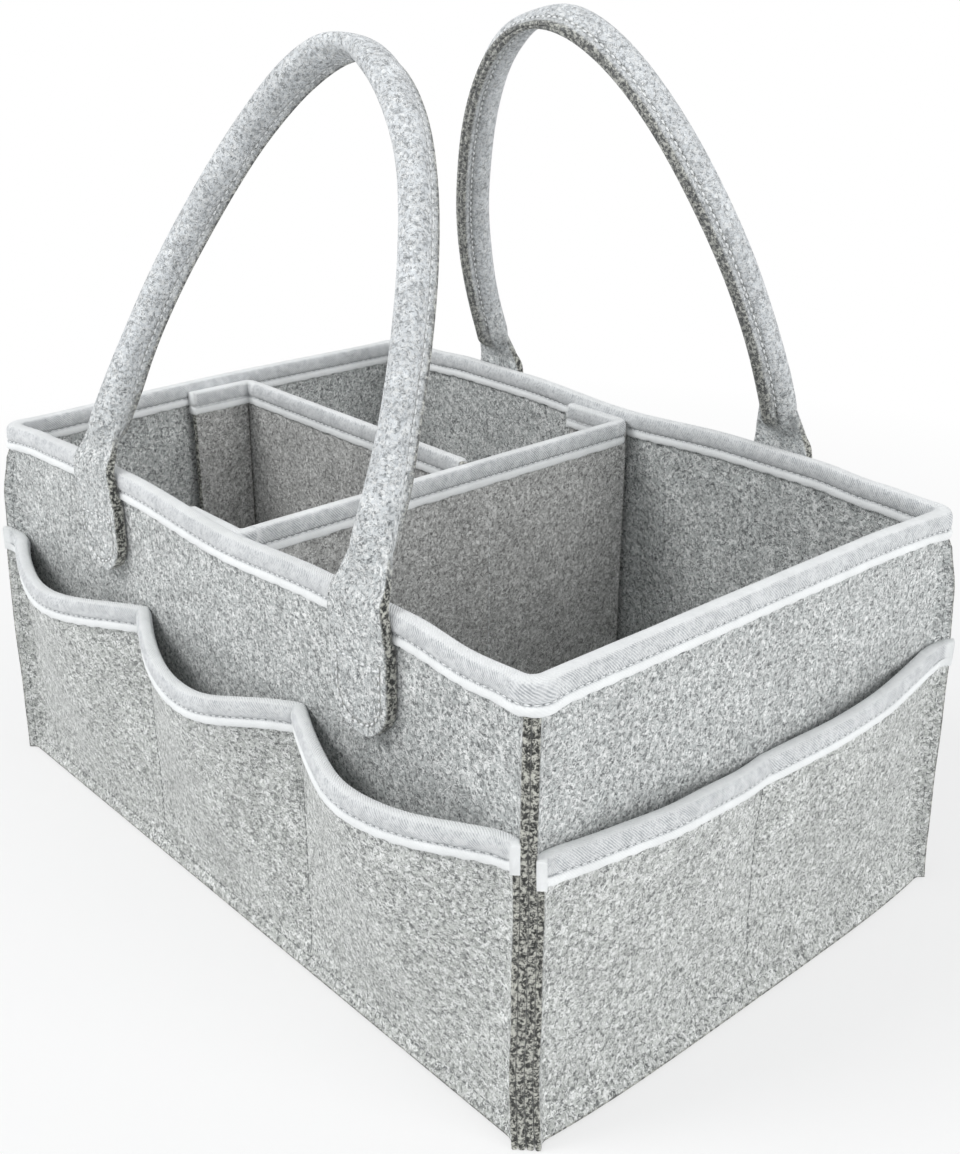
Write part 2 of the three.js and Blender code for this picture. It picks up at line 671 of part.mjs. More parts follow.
const caddy = new THREE.Group();
caddy.add(...base(), rimBinding());
for (const side of SIDES) {
  const pocket = pocketShape(side);
  caddy.add(onSide(side, wallPanel(side)));
  caddy.add(onSide(side, pocketPanel(side, pocket)));
  caddy.add(onSide(side, pocketBinding(side, pocket)));
}
const [front, , back, left] = SIDES;
caddy.add(handleTab('front_left_tab', front, FRONT_ARCH_X - HALF_SPAN));
caddy.add(handleTab('front_right_tab', front, FRONT_ARCH_X + HALF_SPAN));
caddy.add(handleTab('back_right_tab', back, -HALF_SPAN));
caddy.add(handleTab('back_left_tab', back, HALF_SPAN));
caddy.add(arch('front', front, FRONT_LEAN, FRONT_ARCH_X));
caddy.add(arch('back', back, BACK_LEAN, 0));
caddy.add(...crossDivider(), ...longDivider());

const flapInside = CROSS_HALF - DIVIDER_FELT;
const stripAlong = LAYER_GAP + FLAP_LENGTH / 2;
caddy.add(flap('front', [CROSS_FACE_X, -flapInside], Math.PI, true));
caddy.add(flap('back', [CROSS_FACE_X, flapInside], Math.PI, false));
caddy.add(flap('left', [LONG_END_X + DIVIDER_FELT, LONG_FACE_Y], -Math.PI / 2, false));
caddy.add(loopStrip('front_loop_strip', front, CROSS_FACE_X - stripAlong));
caddy.add(loopStrip('back_loop_strip', back, stripAlong - CROSS_FACE_X));
caddy.add(loopStrip('left_loop_strip', left, stripAlong - LONG_FACE_Y));

export default caddy;
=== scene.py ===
# %% [markdown]
# # A felt organizer caddy
# The real object is a soft basket cut from pressed grey felt. Every free edge is folded into a pale
# tape, pockets are sewn round the outside, two padded handles lean in over the top, and a T-shaped
# divider lifts out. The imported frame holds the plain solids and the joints. This file gives each one
# its fine shape and finish in the same place, and never moves a solid.

# %% Load the frame
import math

import bmesh
import bpy
import numpy as np
from mathutils import Matrix, Vector


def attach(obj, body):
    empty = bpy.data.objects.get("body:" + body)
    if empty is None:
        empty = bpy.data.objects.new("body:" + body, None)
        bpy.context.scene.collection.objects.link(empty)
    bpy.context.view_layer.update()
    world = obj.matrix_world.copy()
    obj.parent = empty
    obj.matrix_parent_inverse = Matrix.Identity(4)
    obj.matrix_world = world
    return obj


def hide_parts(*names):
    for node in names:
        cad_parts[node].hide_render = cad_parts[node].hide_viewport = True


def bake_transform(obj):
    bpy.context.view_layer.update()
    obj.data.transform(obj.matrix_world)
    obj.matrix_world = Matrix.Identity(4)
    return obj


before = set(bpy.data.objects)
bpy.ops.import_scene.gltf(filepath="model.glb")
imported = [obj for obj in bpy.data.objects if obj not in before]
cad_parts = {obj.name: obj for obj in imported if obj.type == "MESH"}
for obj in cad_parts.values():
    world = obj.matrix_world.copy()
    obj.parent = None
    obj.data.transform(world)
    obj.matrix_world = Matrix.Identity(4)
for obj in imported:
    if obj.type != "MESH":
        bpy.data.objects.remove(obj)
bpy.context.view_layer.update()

# %% [markdown]
# ## Camera
# The camera stands where the photographer stood, a little to the right of the near corner and
# above it. Its place is a point and two angles, so the frame is built from three axes that are
# square to each other and rolled by a small angle.

# %% Place the camera
CAMERA_PLACE = Vector((0.47329, -0.40461, 0.39793))
CAMERA_AZIMUTH = math.radians(47.88)
CAMERA_ELEVATION = math.radians(23.69)
CAMERA_ROLL = math.radians(0.27)
CAMERA_LENS, SENSOR_WIDTH = 44.73, 36  # mm


def camera_axes(azimuth, elevation, roll):
    level = math.cos(elevation)
    back = Vector((math.sin(azimuth) * level, -math.cos(azimuth) * level, math.sin(elevation)))
    right = (-back).cross(Vector((0, 0, 1))).normalized()
    up = right.cross(-back)
    rolled_right = right * math.cos(roll) + up * math.sin(roll)
    rolled_up = up * math.cos(roll) - right * math.sin(roll)
    return rolled_right, rolled_up, back


def put_in_scene(name, data):
    """An object that holds this data, linked into the scene."""
    made = bpy.data.objects.new(name, data)
    bpy.context.scene.collection.objects.link(made)
    return made


camera_data = bpy.data.cameras.new("camera")
camera_data.lens = CAMERA_LENS
camera_data.sensor_width = SENSOR_WIDTH
camera_data.clip_start = 0.01
camera = put_in_scene("camera", camera_data)
axes = Matrix(camera_axes(CAMERA_AZIMUTH, CAMERA_ELEVATION, CAMERA_ROLL)).transposed()
camera.matrix_world = Matrix.Translation(CAMERA_PLACE) @ axes.to_4x4()
bpy.context.scene.camera = camera
print("camera at", tuple(round(x, 3) for x in camera.location))

# %% [markdown]
# ## Sizes
# These are the sizes of the sewn basket in millimetres, the same as in the solids. Each side of
# the basket has its own frame: u runs along the wall, v outwards from the wall's outer face, and
# z up. A side's turn puts that frame in its place, so one function can sew all four sides.
# The table gives each side its pocket: how far each bay stands out, how deep its mouth dips, and
# how much the whole mouth line sags in the middle.

# %% Sizes of the basket
MM = 0.001
HALF_LENGTH, HALF_WIDTH, RIM_HEIGHT = 187.0, 123.0, 186.0
WALL_FELT, POCKET_FELT, DIVIDER_FELT, LINING_FELT = 3.5, 2.6, 3.5, 2.5
WALL_FIN, POCKET_FIN = 3.05, 2.35  # the felt is pressed thinner where the fins are sewn
LAYER_GAP = 0.3  # between two layers that are sewn together
TAPE_OVER, TAPE_DEPTH = 1.4, 12.0  # above a cut edge, and down its sides
WALL_TOP = RIM_HEIGHT - TAPE_OVER
BASE_FLARE, FLARE_HEIGHT = 4.5, 14.0  # the sewn lower edge turns outwards below this height
FIN_LENGTH, FIN_TAPER, FIN_TOP_TAPER = 8.6, 5.0, 3.0  # a corner's fin, and how much shorter at its top
FIN_TOP = RIM_HEIGHT - TAPE_DEPTH - LAYER_GAP
RIM_CORNER_RADIUS = 8.0
HINGE_OUT, HINGE_Z = 6.9, 187.5  # the line on which a handle folds

SIDES = {
    "front": dict(half=HALF_LENGTH, out=HALF_WIDTH, turn=0.0, height=127.0, wall="front_wall",
                  bulges=(18.0, 18.5, 18.0), dips=(5.0, 8.0, 5.0), sag=0.0),
    "right": dict(half=HALF_WIDTH, out=HALF_LENGTH, turn=math.pi / 2, height=121.0,
                  wall="right_end_wall", bulges=(6.5, 5.5), dips=(-2.2, 0.2), sag=9.4),
    "back": dict(half=HALF_LENGTH, out=HALF_WIDTH, turn=math.pi, height=127.0, wall="back_wall",
                 bulges=(17.5, 18.0, 18.0), dips=(5.0, 6.0, 5.0), sag=0.0),
    "left": dict(half=HALF_WIDTH, out=HALF_LENGTH, turn=-math.pi / 2, height=121.0,
                 wall="left_end_wall", bulges=(8.0, 8.5), dips=(0.0, 0.0), sag=10.0),
}
print("basket", 2 * HALF_LENGTH, "x", 2 * HALF_WIDTH, "x", RIM_HEIGHT, "mm")

# %% [markdown]
# ## Soft shapes from smooth functions
# Felt has no crisp steps, so every change is eased. The same few functions shape the walls, the
# pockets and the tapes, so layers that are sewn together stay together. The last one lets the
# finished basket settle: the rim sags a little between the handles, as the tables say, the ends
# spread at the base, and the walls wave by half a millimetre. All that is sewn to the walls, the
# base with it, goes through this function, so no gap opens between them.

# %% Easing and settling


def ease(value):
    """0 below 0, 1 above 1, and a soft step between them."""
    t = np.clip(value, 0.0, 1.0)
    return t * t * (3 - 2 * t)


def through(places, values, at):
    """Eased steps through a row of values."""
    at = np.clip(at, places[0], places[-1])
    index = np.clip(np.searchsorted(places, at, side="right") - 1, 0, len(places) - 2)
    places, values = np.asarray(places), np.asarray(values)
    share = (at - places[index]) / (places[index + 1] - places[index])
    return values[index] + (values[index + 1] - values[index]) * ease(share)


def flare(z):
    """How far the sewn lower edge turns outwards at a height."""
    return BASE_FLARE * np.clip(1 - z / FLARE_HEIGHT, 0, None) ** 2


def wander(a, b, seed):
    """A slow random-looking wave of about -1 to 1."""
    return (
        0.5 * np.sin(a / 17.0 + 1.7 * seed + 1.1 * np.sin(b / 23.0 + seed))
        + 0.3 * np.sin(a / 9.3 + b / 13.1 + 2.9 * seed)
        + 0.2 * np.sin(b / 7.1 - a / 11.9 + 0.7 * seed)
    )


def to_world(side, u, v, z):
    """Places in a side's own frame, put into the basket's."""
    u, v, z = np.broadcast_arrays(u, v, z)
    x, y = u, -(side["out"] + v)
    c, s = math.cos(side["turn"]), math.sin(side["turn"])
    return np.stack([c * x - s * y, s * x + c * y, z], -1).astype(float)


FRONT_SAG = ([-187, -150, -118, -66, 5, 74, 124, 155, 187], [3.6, 1.2, 0, 0, 3.4, 0, 0, 2.4, 0.8])
BACK_SAG = ([-187, -150, -118, -72, 0, 72, 118, 150, 187], [2.4, 1.4, 0, 0, 3.0, 0, 0, 2.0, 3.6])
RIGHT_SAG = ([-123, -40, 60, 123], [0.8, 1.2, 1.6, 3.6])
LEFT_SAG = ([-123, 0, 123], [3.6, 1.6, 2.4])
SAG_FROM, SAG_OVER = 100, 78  # heights between which the sag comes in
SPREAD_HEIGHT = 42  # the ends spread below this
CORNER_SPREAD, RIGHT_SPREAD, LEFT_SPREAD = 1.8, 4.4, 3.4


def settle(points):
    """Moves points of the sewn basket to where its soft felt comes to rest."""
    x, y, z = points[..., 0], points[..., 1], points[..., 2]
    near_end = np.abs(x) - HALF_LENGTH > np.abs(y) - HALF_WIDTH
    sag = np.where(near_end, np.where(x > 0, through(*RIGHT_SAG, y), through(*LEFT_SAG, y)),
                   np.where(y < 0, through(*FRONT_SAG, x), through(*BACK_SAG, x)))
    along_end = np.clip(1 - (y / 128) ** 4, 0, 1)
    push = CORNER_SPREAD + np.where(x > 0, RIGHT_SPREAD, LEFT_SPREAD) * along_end
    spread = push * np.clip(1 - z / SPREAD_HEIGHT, 0, 1) ** 2 * ease((np.abs(x) - 120) / 60)
    side_wave = 0.45 * (wander(x, z, 1.0) + 0.4) * ease((np.abs(y) - 60) / 55) * ease(z / 30)
    end_wave = 0.5 * (wander(y, z, 2.0) + 0.4) * ease((np.abs(x) - 110) / 65) * ease(z / 30)
    calm = ease((176 - z) / 30)
    moved = points.copy()
    moved[..., 0] += np.sign(x) * (spread + end_wave * calm)
    moved[..., 1] += np.sign(y) * side_wave * calm
    moved[..., 2] -= sag * ease((z - SAG_FROM) / SAG_OVER)
    return moved


front_rim = np.array([5.0, -HALF_WIDTH, RIM_HEIGHT])
print("sag at the middle of the front rim:", round(float(RIM_HEIGHT - settle(front_rim)[2]), 2))

# %% [markdown]
# ## From grids to pieces
# A felt panel is a grid of points on its middle surface, given a thickness. At a cut edge the
# thickness falls quickly to nothing, which closes the panel with a nearly square edge that has
# soft corners. Each piece is a few such grids, welded where they meet. A mark on each point says
# how close it is to a cut edge, so that the material can show the darker fibres there.

# %% Grid and panel helpers
WELD = 1e-6  # metres
CUT_ROUND = 0.9  # mm over which a cut edge closes
CUT_STEPS = np.array([0.0, 0.03, 0.12, 0.35, 1.0]) * CUT_ROUND
report = []


def cut_fill(depth):
    """The share of its thickness that felt has at a distance from its cut edge."""
    t = np.clip(depth / CUT_ROUND, 0, 1)
    return (1 - (1 - t) ** 3) ** (1 / 3)


def cut_mark(depth):
    """1 on a cut edge and 0 away from it."""
    return np.clip((CUT_ROUND - depth) / (0.65 * CUT_ROUND), 0, 1)


def run(low, high, step):
    """Places from low to high, closer together at both cut edges."""
    start, end = low + CUT_ROUND, high - CUT_ROUND
    middle = np.linspace(start, end, max(2, int(round((end - start) / step)) + 1))
    return np.concatenate([low + CUT_STEPS[:-1], middle, high - CUT_STEPS[:-1][::-1]])


def slab(middle, depth, thickness, uv, looped=False):
    """Both faces of a panel from its middle surface."""
    if looped:
        inner = middle[:, :-1]
        along = np.roll(inner, -1, 1) - np.roll(inner, 1, 1)
        along = np.concatenate([along, along[:, :1]], 1)
    else:
        along = np.gradient(middle, axis=1)
    across = np.cross(np.gradient(middle, axis=0), along)
    size = np.linalg.norm(across, axis=-1, keepdims=True)
    normal = np.where(size > 1e-9, across / np.maximum(size, 1e-12), [0.0, 0.0, -1.0])
    half = (thickness / 2 * cut_fill(depth))[..., None] * normal
    return [(middle + half, uv, cut_mark(depth)), (middle - half, uv, cut_mark(depth))]


def make_piece(name, patches, material):
    """Welds grids into one closed mesh at the origin."""
    points, flat, marks, faces, start = [], [], [], [], 0
    for grid, uv, mark in patches:
        rows, columns = grid.shape[:2]
        points.append(grid.reshape(-1, 3))
        flat.append(np.broadcast_to(uv, (rows, columns, 2)).reshape(-1, 2))
        marks.append(np.broadcast_to(mark, (rows, columns)).reshape(-1))
        corner = (np.arange(rows - 1)[:, None] * columns + np.arange(columns - 1)).reshape(-1) + start
        faces.append(np.stack([corner, corner + 1, corner + columns + 1, corner + columns], 1))
        start += rows * columns
    points, flat, marks = np.concatenate(points), np.concatenate(flat), np.concatenate(marks)
    data = bpy.data.meshes.new(name)
    data.from_pydata((points * MM).tolist(), [], np.concatenate(faces).tolist())
    corners = np.empty(len(data.loops), np.int32)
    data.loops.foreach_get("vertex_index", corners)
    layer = data.uv_layers.new(name="Run")
    layer.data.foreach_set("uv", (flat[corners] * MM).astype(np.float32).ravel())
    # The mark holds each point's cut edge, a tape's lip, and on the handles painted shade in stitch grooves.
    mark = data.attributes.new("raw_and_groove_shade", "FLOAT", "POINT")
    mark.data.foreach_set("value", marks.astype(np.float32))
    sculpt = bmesh.new()
    sculpt.from_mesh(data)
    bmesh.ops.remove_doubles(sculpt, verts=sculpt.verts, dist=WELD)
    bmesh.ops.recalc_face_normals(sculpt, faces=sculpt.faces)
    open_edges = sum(len(edge.link_faces) != 2 for edge in sculpt.edges)
    sculpt.to_mesh(data)
    sculpt.free()
    data.shade_smooth()
    data.materials.append(material)
    piece = put_in_scene(name + "_sewn", data)
    report.append((name, len(data.polygons), open_edges))
    print(f"{name}: {len(data.polygons)} faces, {open_edges} open edges")
    return piece


def dress(piece, body, slot, *nodes):
    """Puts a finished piece on its body and hides the solids that it stands for."""
    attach(piece, body)
    if nodes:
        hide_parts(*nodes)
    return piece


# %% [markdown]
# ## Short names for nodes
# A material is easier to read when each node is one call that gives back its output. These few
# functions add a node, set or link its inputs, and return the socket that the next call takes.

# %% Helpers for node trees


def new_group(name, inputs, outputs):
    tree = bpy.data.node_groups.new(name, "ShaderNodeTree")
    for label, kind, value in inputs:
        socket = tree.interface.new_socket(label, in_out="INPUT", socket_type=kind)
        if value is not None:
            socket.default_value = value
    for label, kind in outputs:
        tree.interface.new_socket(label, in_out="OUTPUT", socket_type=kind)
    return tree, tree.nodes.new("NodeGroupInput"), tree.nodes.new("NodeGroupOutput")


def add(tree, kind, links=(), **settings):
    """A node with its settings, and its inputs set to values or linked to sockets."""
    made = tree.nodes.new(kind)
    for key, value in settings.items():
        setattr(made, key, value)
    for key, value in dict(links).items():
        if isinstance(value, bpy.types.NodeSocket):
            tree.links.new(value, made.inputs[key])
        else:
            made.inputs[key].default_value = value
    return made


def maths(tree, operation, first, second=0.0, clamp=False):
    made = add(tree, "ShaderNodeMath", {0: first, 1: second}, operation=operation, use_clamp=clamp)
    return made.outputs[0]


def plus(tree, first, second):
    return maths(tree, "ADD", first, second)


def minus(tree, first, second):
    return maths(tree, "SUBTRACT", first, second)


def times(tree, first, second, clamp=False):
    return maths(tree, "MULTIPLY", first, second, clamp)


def moved_by(tree, place, shift):
    return add(tree, "ShaderNodeVectorMath", {0: place, 1: shift}, operation="ADD").outputs[0]


def lit_by(tree, shade, share):
    """A colour made lighter or darker by a share."""
    made = add(tree, "ShaderNodeVectorMath", {0: shade, "Scale": share}, operation="SCALE")
    return made.outputs[0]


def noise(tree, place, scale, detail=2.0, roughness=0.5, distortion=0.0):
    made = add(tree, "ShaderNodeTexNoise", {"Vector": place, "Scale": scale, "Detail": detail,
                                            "Roughness": roughness, "Distortion": distortion})
    return made.outputs["Fac"]


def ramp(tree, value, low, high, to_low=0.0, to_high=1.0):
    made = add(tree, "ShaderNodeMapRange", {"Value": value, "From Min": low, "From Max": high,
                                            "To Min": to_low, "To Max": to_high})
    return made.outputs["Result"]


def mix_colour(tree, share, first, second):
    made = add(tree, "ShaderNodeMix", {0: share, 6: first, 7: second}, data_type="RGBA")
    return made.outputs[2]


def colour(hex_code):
    """A colour written as in a picture, turned into the light values that the shader needs."""
    values = [int(hex_code[i:i + 2], 16) / 255 for i in (0, 2, 4)]
    light = [v / 12.92 if v <= 0.04045 else ((v + 0.055) / 1.055) ** 2.4 for v in values]
    return (*light, 1.0)


# %% [markdown]
# ## Felt and tape as node groups
# Pressed felt is a mat of light and dark fibres. Up close it shows three things: soft clouds,
# flecks of darker and paler wool about 2 mm across, and thin curled strokes of single fibres. All
# three come from noise, the strokes from the narrow band where a distorted noise crosses its
# middle value. The group is built once and each felt sets its own colours.

# %% The felt group
felt_tree, felt_in, felt_out = new_group(
    "pressed felt",
    [("Place", "NodeSocketVector", None), ("Ground", "NodeSocketColor", colour("c4c6c4")),
     ("Dark Wool", "NodeSocketColor", colour("6f706e")), ("Pale Wool", "NodeSocketColor", colour("f0f1ef")),
     ("Cut Edge And Groove Shade", "NodeSocketFloat", 0.0), ("Fleck Share", "NodeSocketFloat", 1.0)],
    [("Color", "NodeSocketColor"), ("Height", "NodeSocketFloat"), ("Roughness", "NodeSocketFloat")],
)
place, ground, dark_wool, pale_wool, edge_and_groove_shade, fleck_share = (
    felt_in.outputs[label]
    for label in ("Place", "Ground", "Dark Wool", "Pale Wool", "Cut Edge And Groove Shade", "Fleck Share"))


def wool_strokes(tree, place, scale, shift, bend, half_width, density):
    """Thin curled lines where a bent noise crosses its middle value, broken into short pieces."""
    where = moved_by(tree, place, shift)
    off = maths(tree, "ABSOLUTE", minus(tree, noise(tree, where, scale, 2.0, 0.55, bend), 0.5))
    line = minus(tree, 1.0, ramp(tree, off, half_width * 0.35, half_width))
    pieces = ramp(tree, noise(tree, where, scale * 1.7, 1.0), density, density + 0.12)
    return times(tree, line, pieces)


shifted = moved_by(felt_tree, place, (3.1, 1.7, 5.3))
clouds = noise(felt_tree, place, 42.0, 3.0, 0.6)
mottles = noise(felt_tree, place, 170.0, 2.0, 0.6)
dark_flecks = ramp(felt_tree, noise(felt_tree, place, 470.0, 5.0, 0.72, 0.6), 0.50, 0.57)
pale_flecks = ramp(felt_tree, noise(felt_tree, shifted, 540.0, 5.0, 0.72, 0.8), 0.50, 0.57)
dark_strokes = wool_strokes(felt_tree, place, 360.0, (1.3, 4.1, 2.2), 1.8, 0.042, 0.46)
pale_strokes = wool_strokes(felt_tree, place, 340.0, (7.3, 0.4, 6.2), 2.2, 0.044, 0.44)
shade = ground
for share, weight, wool in [(dark_flecks, 0.66, dark_wool), (pale_flecks, 0.85, pale_wool),
                            (pale_strokes, 0.85, pale_wool), (dark_strokes, 0.85, dark_wool)]:
    laid = times(felt_tree, times(felt_tree, share, weight), fleck_share, clamp=True)
    shade = mix_colour(felt_tree, laid, shade, wool)
cloud_light = times(felt_tree, ramp(felt_tree, clouds, 0.3, 0.7, 0.90, 1.07),
                    ramp(felt_tree, mottles, 0.3, 0.7, 0.90, 1.09))
cloudy = lit_by(felt_tree, shade, cloud_light)
# Cut edges show dark speckled fibres; on the handles the same colour also lies along stitch grooves as
# painted shade.
speckle = ramp(felt_tree, noise(felt_tree, place, 640.0, 5.0, 0.78, 0.5), 0.475, 0.56)
edge_shade = mix_colour(felt_tree, speckle, colour("262724"), colour("cdcdc4"))
edge_share = times(felt_tree, edge_and_groove_shade, 0.97, clamp=True)
felt_tree.links.new(mix_colour(felt_tree, edge_share, cloudy, edge_shade), felt_out.inputs["Color"])
fine = noise(felt_tree, place, 1300.0, 3.0, 0.7)
lumps = noise(felt_tree, place, 300.0, 4.0, 0.65)
height = plus(felt_tree, times(felt_tree, fine, 0.4), lumps)
height = minus(felt_tree, height, times(felt_tree, dark_strokes, 0.30))
height = plus(felt_tree, height, times(felt_tree, pale_strokes, 0.30))
felt_tree.links.new(height, felt_out.inputs["Height"])
felt_tree.links.new(ramp(felt_tree, fine, 0.3, 0.7, 0.88, 1.0), felt_out.inputs["Roughness"])
print("felt group:", len(felt_tree.nodes), "nodes")

# %% [markdown]
# ## Folded edge tape
# The tape is a strip of fine woven cloth. Its weave shows as slanting ribs about 1 mm apart, so
# the pattern follows the tape's own run and not the room. The piece's UV map holds the distance
# along the tape and the distance round its fold. The group lays on it, one after the other, the
# ribs, loose fuzz, a painted highlight along the crest, the pale lip, painted shade along the stitch groove
# and the fringe at the edge.

# %% The tape group
CREST_AT = 0.016  # metres round the fold at which its crest lies
GROOVE_OFF, EDGE_OFF = 0.0106, 0.0146  # from the crest to the groove and to the tape's edge
LOOP_TURNS = 5000.0  # of the fine loops along the crest, in radians for each metre
tape_tree, tape_in, tape_out = new_group(
    "ribbed tape",
    [("Run", "NodeSocketVector", None), ("Place", "NodeSocketVector", None),
     ("Cloth", "NodeSocketColor", colour("d6d9dc")), ("Groove", "NodeSocketColor", colour("a4a8ac")),
     ("Lip", "NodeSocketColor", colour("f4f6f6")), ("Seam", "NodeSocketColor", colour("74797c")),
     ("Lip Share", "NodeSocketFloat", 0.0), ("Ribs", "NodeSocketFloat", 830.0)],
    [("Color", "NodeSocketColor"), ("Height", "NodeSocketFloat"), ("Roughness", "NodeSocketFloat")],
)
cloth, groove, lip_and_highlight, groove_shade_colour, ribs, tape_place = (
    tape_in.outputs[label] for label in ("Cloth", "Groove", "Lip", "Seam", "Ribs", "Place"))


def sine(value, turns):
    return maths(tape_tree, "SINE", times(tape_tree, value, turns))


run_along, run_round, _ = add(tape_tree, "ShaderNodeSeparateXYZ", {0: tape_in.outputs["Run"]}).outputs
from_crest = maths(tape_tree, "ABSOLUTE", minus(tape_tree, run_round, CREST_AT))
slant = plus(tape_tree, run_along, times(tape_tree, run_round, 0.9))
wobble = times(tape_tree, noise(tape_tree, tape_place, 190.0, 2.0), 0.0016)
turns = times(tape_tree, plus(tape_tree, slant, wobble), ribs)
rib = plus(tape_tree, times(tape_tree, sine(turns, 2 * math.pi), 0.5), 0.5)
fuzz = noise(tape_tree, tape_place, 700.0, 4.0, 0.68)
patchy = ramp(tape_tree, noise(tape_tree, tape_place, 230.0, 2.0), 0.38, 0.62, 0.35, 1.0)
rib_share = times(tape_tree, times(tape_tree, minus(tape_tree, 1.0, rib), 0.72), patchy)
tape_shade = mix_colour(tape_tree, rib_share, cloth, groove)
tape_shade = mix_colour(tape_tree, ramp(tape_tree, fuzz, 0.52, 0.66, 0.0, 0.45), tape_shade, lip_and_highlight)
tape_shade = mix_colour(tape_tree, ramp(tape_tree, fuzz, 0.47, 0.34, 0.0, 0.4), tape_shade, groove)
frayed = plus(tape_tree, run_along, times(tape_tree, fuzz, 0.0016))
loops = ramp(tape_tree, sine(frayed, LOOP_TURNS), -0.3, 0.6)
lip_share = times(tape_tree, tape_in.outputs["Lip Share"], 0.88, clamp=True)
# Painted highlight: a pale serrated band along the crest of the fold, in the lip's colour.
crest_highlight = ramp(tape_tree, plus(tape_tree, from_crest, times(tape_tree, loops, 0.0006)), 0.0033, 0.0025)
crest_highlight = times(tape_tree, crest_highlight, 0.75)
tape_shade = mix_colour(tape_tree, maths(tape_tree, "MAXIMUM", lip_share, crest_highlight), tape_shade, lip_and_highlight)
# Painted shade: a dark dashed line along the stitch groove below the crest.
off_seam = maths(tape_tree, "ABSOLUTE", minus(tape_tree, from_crest, GROOVE_OFF))
seam = times(tape_tree, ramp(tape_tree, off_seam, 0.0008, 0.0003),
             ramp(tape_tree, loops, 0.0, 1.0, 0.3, 0.75))
seam = times(tape_tree, seam, minus(tape_tree, 1.0, lip_share))
tape_shade = mix_colour(tape_tree, seam, tape_shade, groove_shade_colour)
fringe = times(tape_tree, loops, ramp(tape_tree, from_crest, EDGE_OFF, EDGE_OFF + 0.001))
tape_shade = mix_colour(tape_tree, times(tape_tree, fringe, 0.6), tape_shade, groove)
soft = ramp(tape_tree, noise(tape_tree, tape_place, 60.0, 2.0), 0.3, 0.7, 0.94, 1.03)
tape_tree.links.new(lit_by(tape_tree, tape_shade, soft), tape_out.inputs["Color"])
rib_height = times(tape_tree, rib, minus(tape_tree, 1.0, lip_share))
rib_height = plus(tape_tree, rib_height, times(tape_tree, fuzz, 1.1))
tape_tree.links.new(rib_height, tape_out.inputs["Height"])
tape_tree.links.new(ramp(tape_tree, fuzz, 0.3, 0.7, 0.62, 0.8), tape_out.inputs["Roughness"])
print("tape group:", len(tape_tree.nodes), "nodes")

# %% [markdown]
# ## The materials
# Each material holds its own shader and takes its colours and relief from a group. Felt and tape
# have a soft glow at grazing angles, which comes from the loose fibres that stand up from them,
# so both have some sheen.

# %% Make the felts, the tape and the small finishes


def new_material(name, roughness=0.9, sheen=0.0):
    material = bpy.data.materials.new(name)
    material.use_nodes = True
    tree = material.node_tree
    shader = tree.nodes["Principled BSDF"]
    for label, value in [("Roughness", roughness), ("Sheen Weight", sheen), ("Sheen Roughness", 0.5),
                         ("Specular IOR Level", 0.25)]:
        shader.inputs[label].default_value = value
    return material, tree, shader


def raised_by(tree, shader, height, strength, distance):
    """Relief on the shader's surface from a height."""
    relief = add(tree, "ShaderNodeBump", {"Height": height, "Strength": strength, "Distance": distance})
    tree.links.new(relief.outputs[0], shader.inputs["Normal"])


def use_group(tree, shader, group, settings, strength, distance):
    made = add(tree, "ShaderNodeGroup", {}, node_tree=group)
    for key, value in settings.items():
        if isinstance(value, bpy.types.NodeSocket):
            tree.links.new(value, made.inputs[key])
        else:
            made.inputs[key].default_value = value
    tree.links.new(made.outputs["Color"], shader.inputs["Base Color"])
    tree.links.new(made.outputs["Roughness"], shader.inputs["Roughness"])
    raised_by(tree, shader, made.outputs["Height"], strength, distance)


def felt_material(name, ground, dark="484b4d", pale="fcfdfc", flecks=1.0, painted_light_above_rim=None):
    """Felt in its own colours. Given a second ground colour, it is painted paler and less flecked above the
    rim, as painted light falling from above on the handle.
    """
    material, tree, shader = new_material(name, 0.95, 0.25)
    where = add(tree, "ShaderNodeTexCoord").outputs["Object"]
    raw_and_shade = add(tree, "ShaderNodeAttribute", {}, attribute_name="raw_and_groove_shade").outputs["Fac"]
    ground = colour(ground)
    if painted_light_above_rim:
        above_rim = ramp(tree, add(tree, "ShaderNodeSeparateXYZ", {0: where}).outputs[2], 0.180, 0.235)
        ground = mix_colour(tree, above_rim, ground, colour(painted_light_above_rim))
        flecks = ramp(tree, above_rim, 0.0, 1.0, flecks, 0.68)
    settings = {"Place": where, "Ground": ground, "Dark Wool": colour(dark), "Pale Wool": colour(pale),
                "Cut Edge And Groove Shade": raw_and_shade, "Fleck Share": flecks}
    use_group(tree, shader, felt_tree, settings, 0.75, 0.0009)
    return material


def tape_material(name, cloth, groove, lip_and_highlight):
    material, tree, shader = new_material(name, 0.7, 0.2)
    coordinates = add(tree, "ShaderNodeTexCoord")
    on_lip = add(tree, "ShaderNodeAttribute", {}, attribute_name="raw_and_groove_shade").outputs["Fac"]
    settings = {"Run": coordinates.outputs["UV"], "Place": coordinates.outputs["Object"], "Lip Share": on_lip,
                "Cloth": colour(cloth), "Groove": colour(groove), "Lip": colour(lip_and_highlight)}
    use_group(tree, shader, tape_tree, settings, 0.6, 0.0004)
    return material


def grainy_material(name, first, second, scale, roughness, sheen=0.0, bump=0.4):
    """A plain finish with two colours of grain: board, thread or pile."""
    material, tree, shader = new_material(name, roughness, sheen)
    where = add(tree, "ShaderNodeTexCoord").outputs["Object"]
    grain = noise(tree, where, scale, 4.0, 0.6, 0.3)
    tree.links.new(mix_colour(tree, ramp(tree, grain, 0.35, 0.65), colour(first), colour(second)),
                   shader.inputs["Base Color"])
    raised_by(tree, shader, grain, bump, 0.0003)
    return material


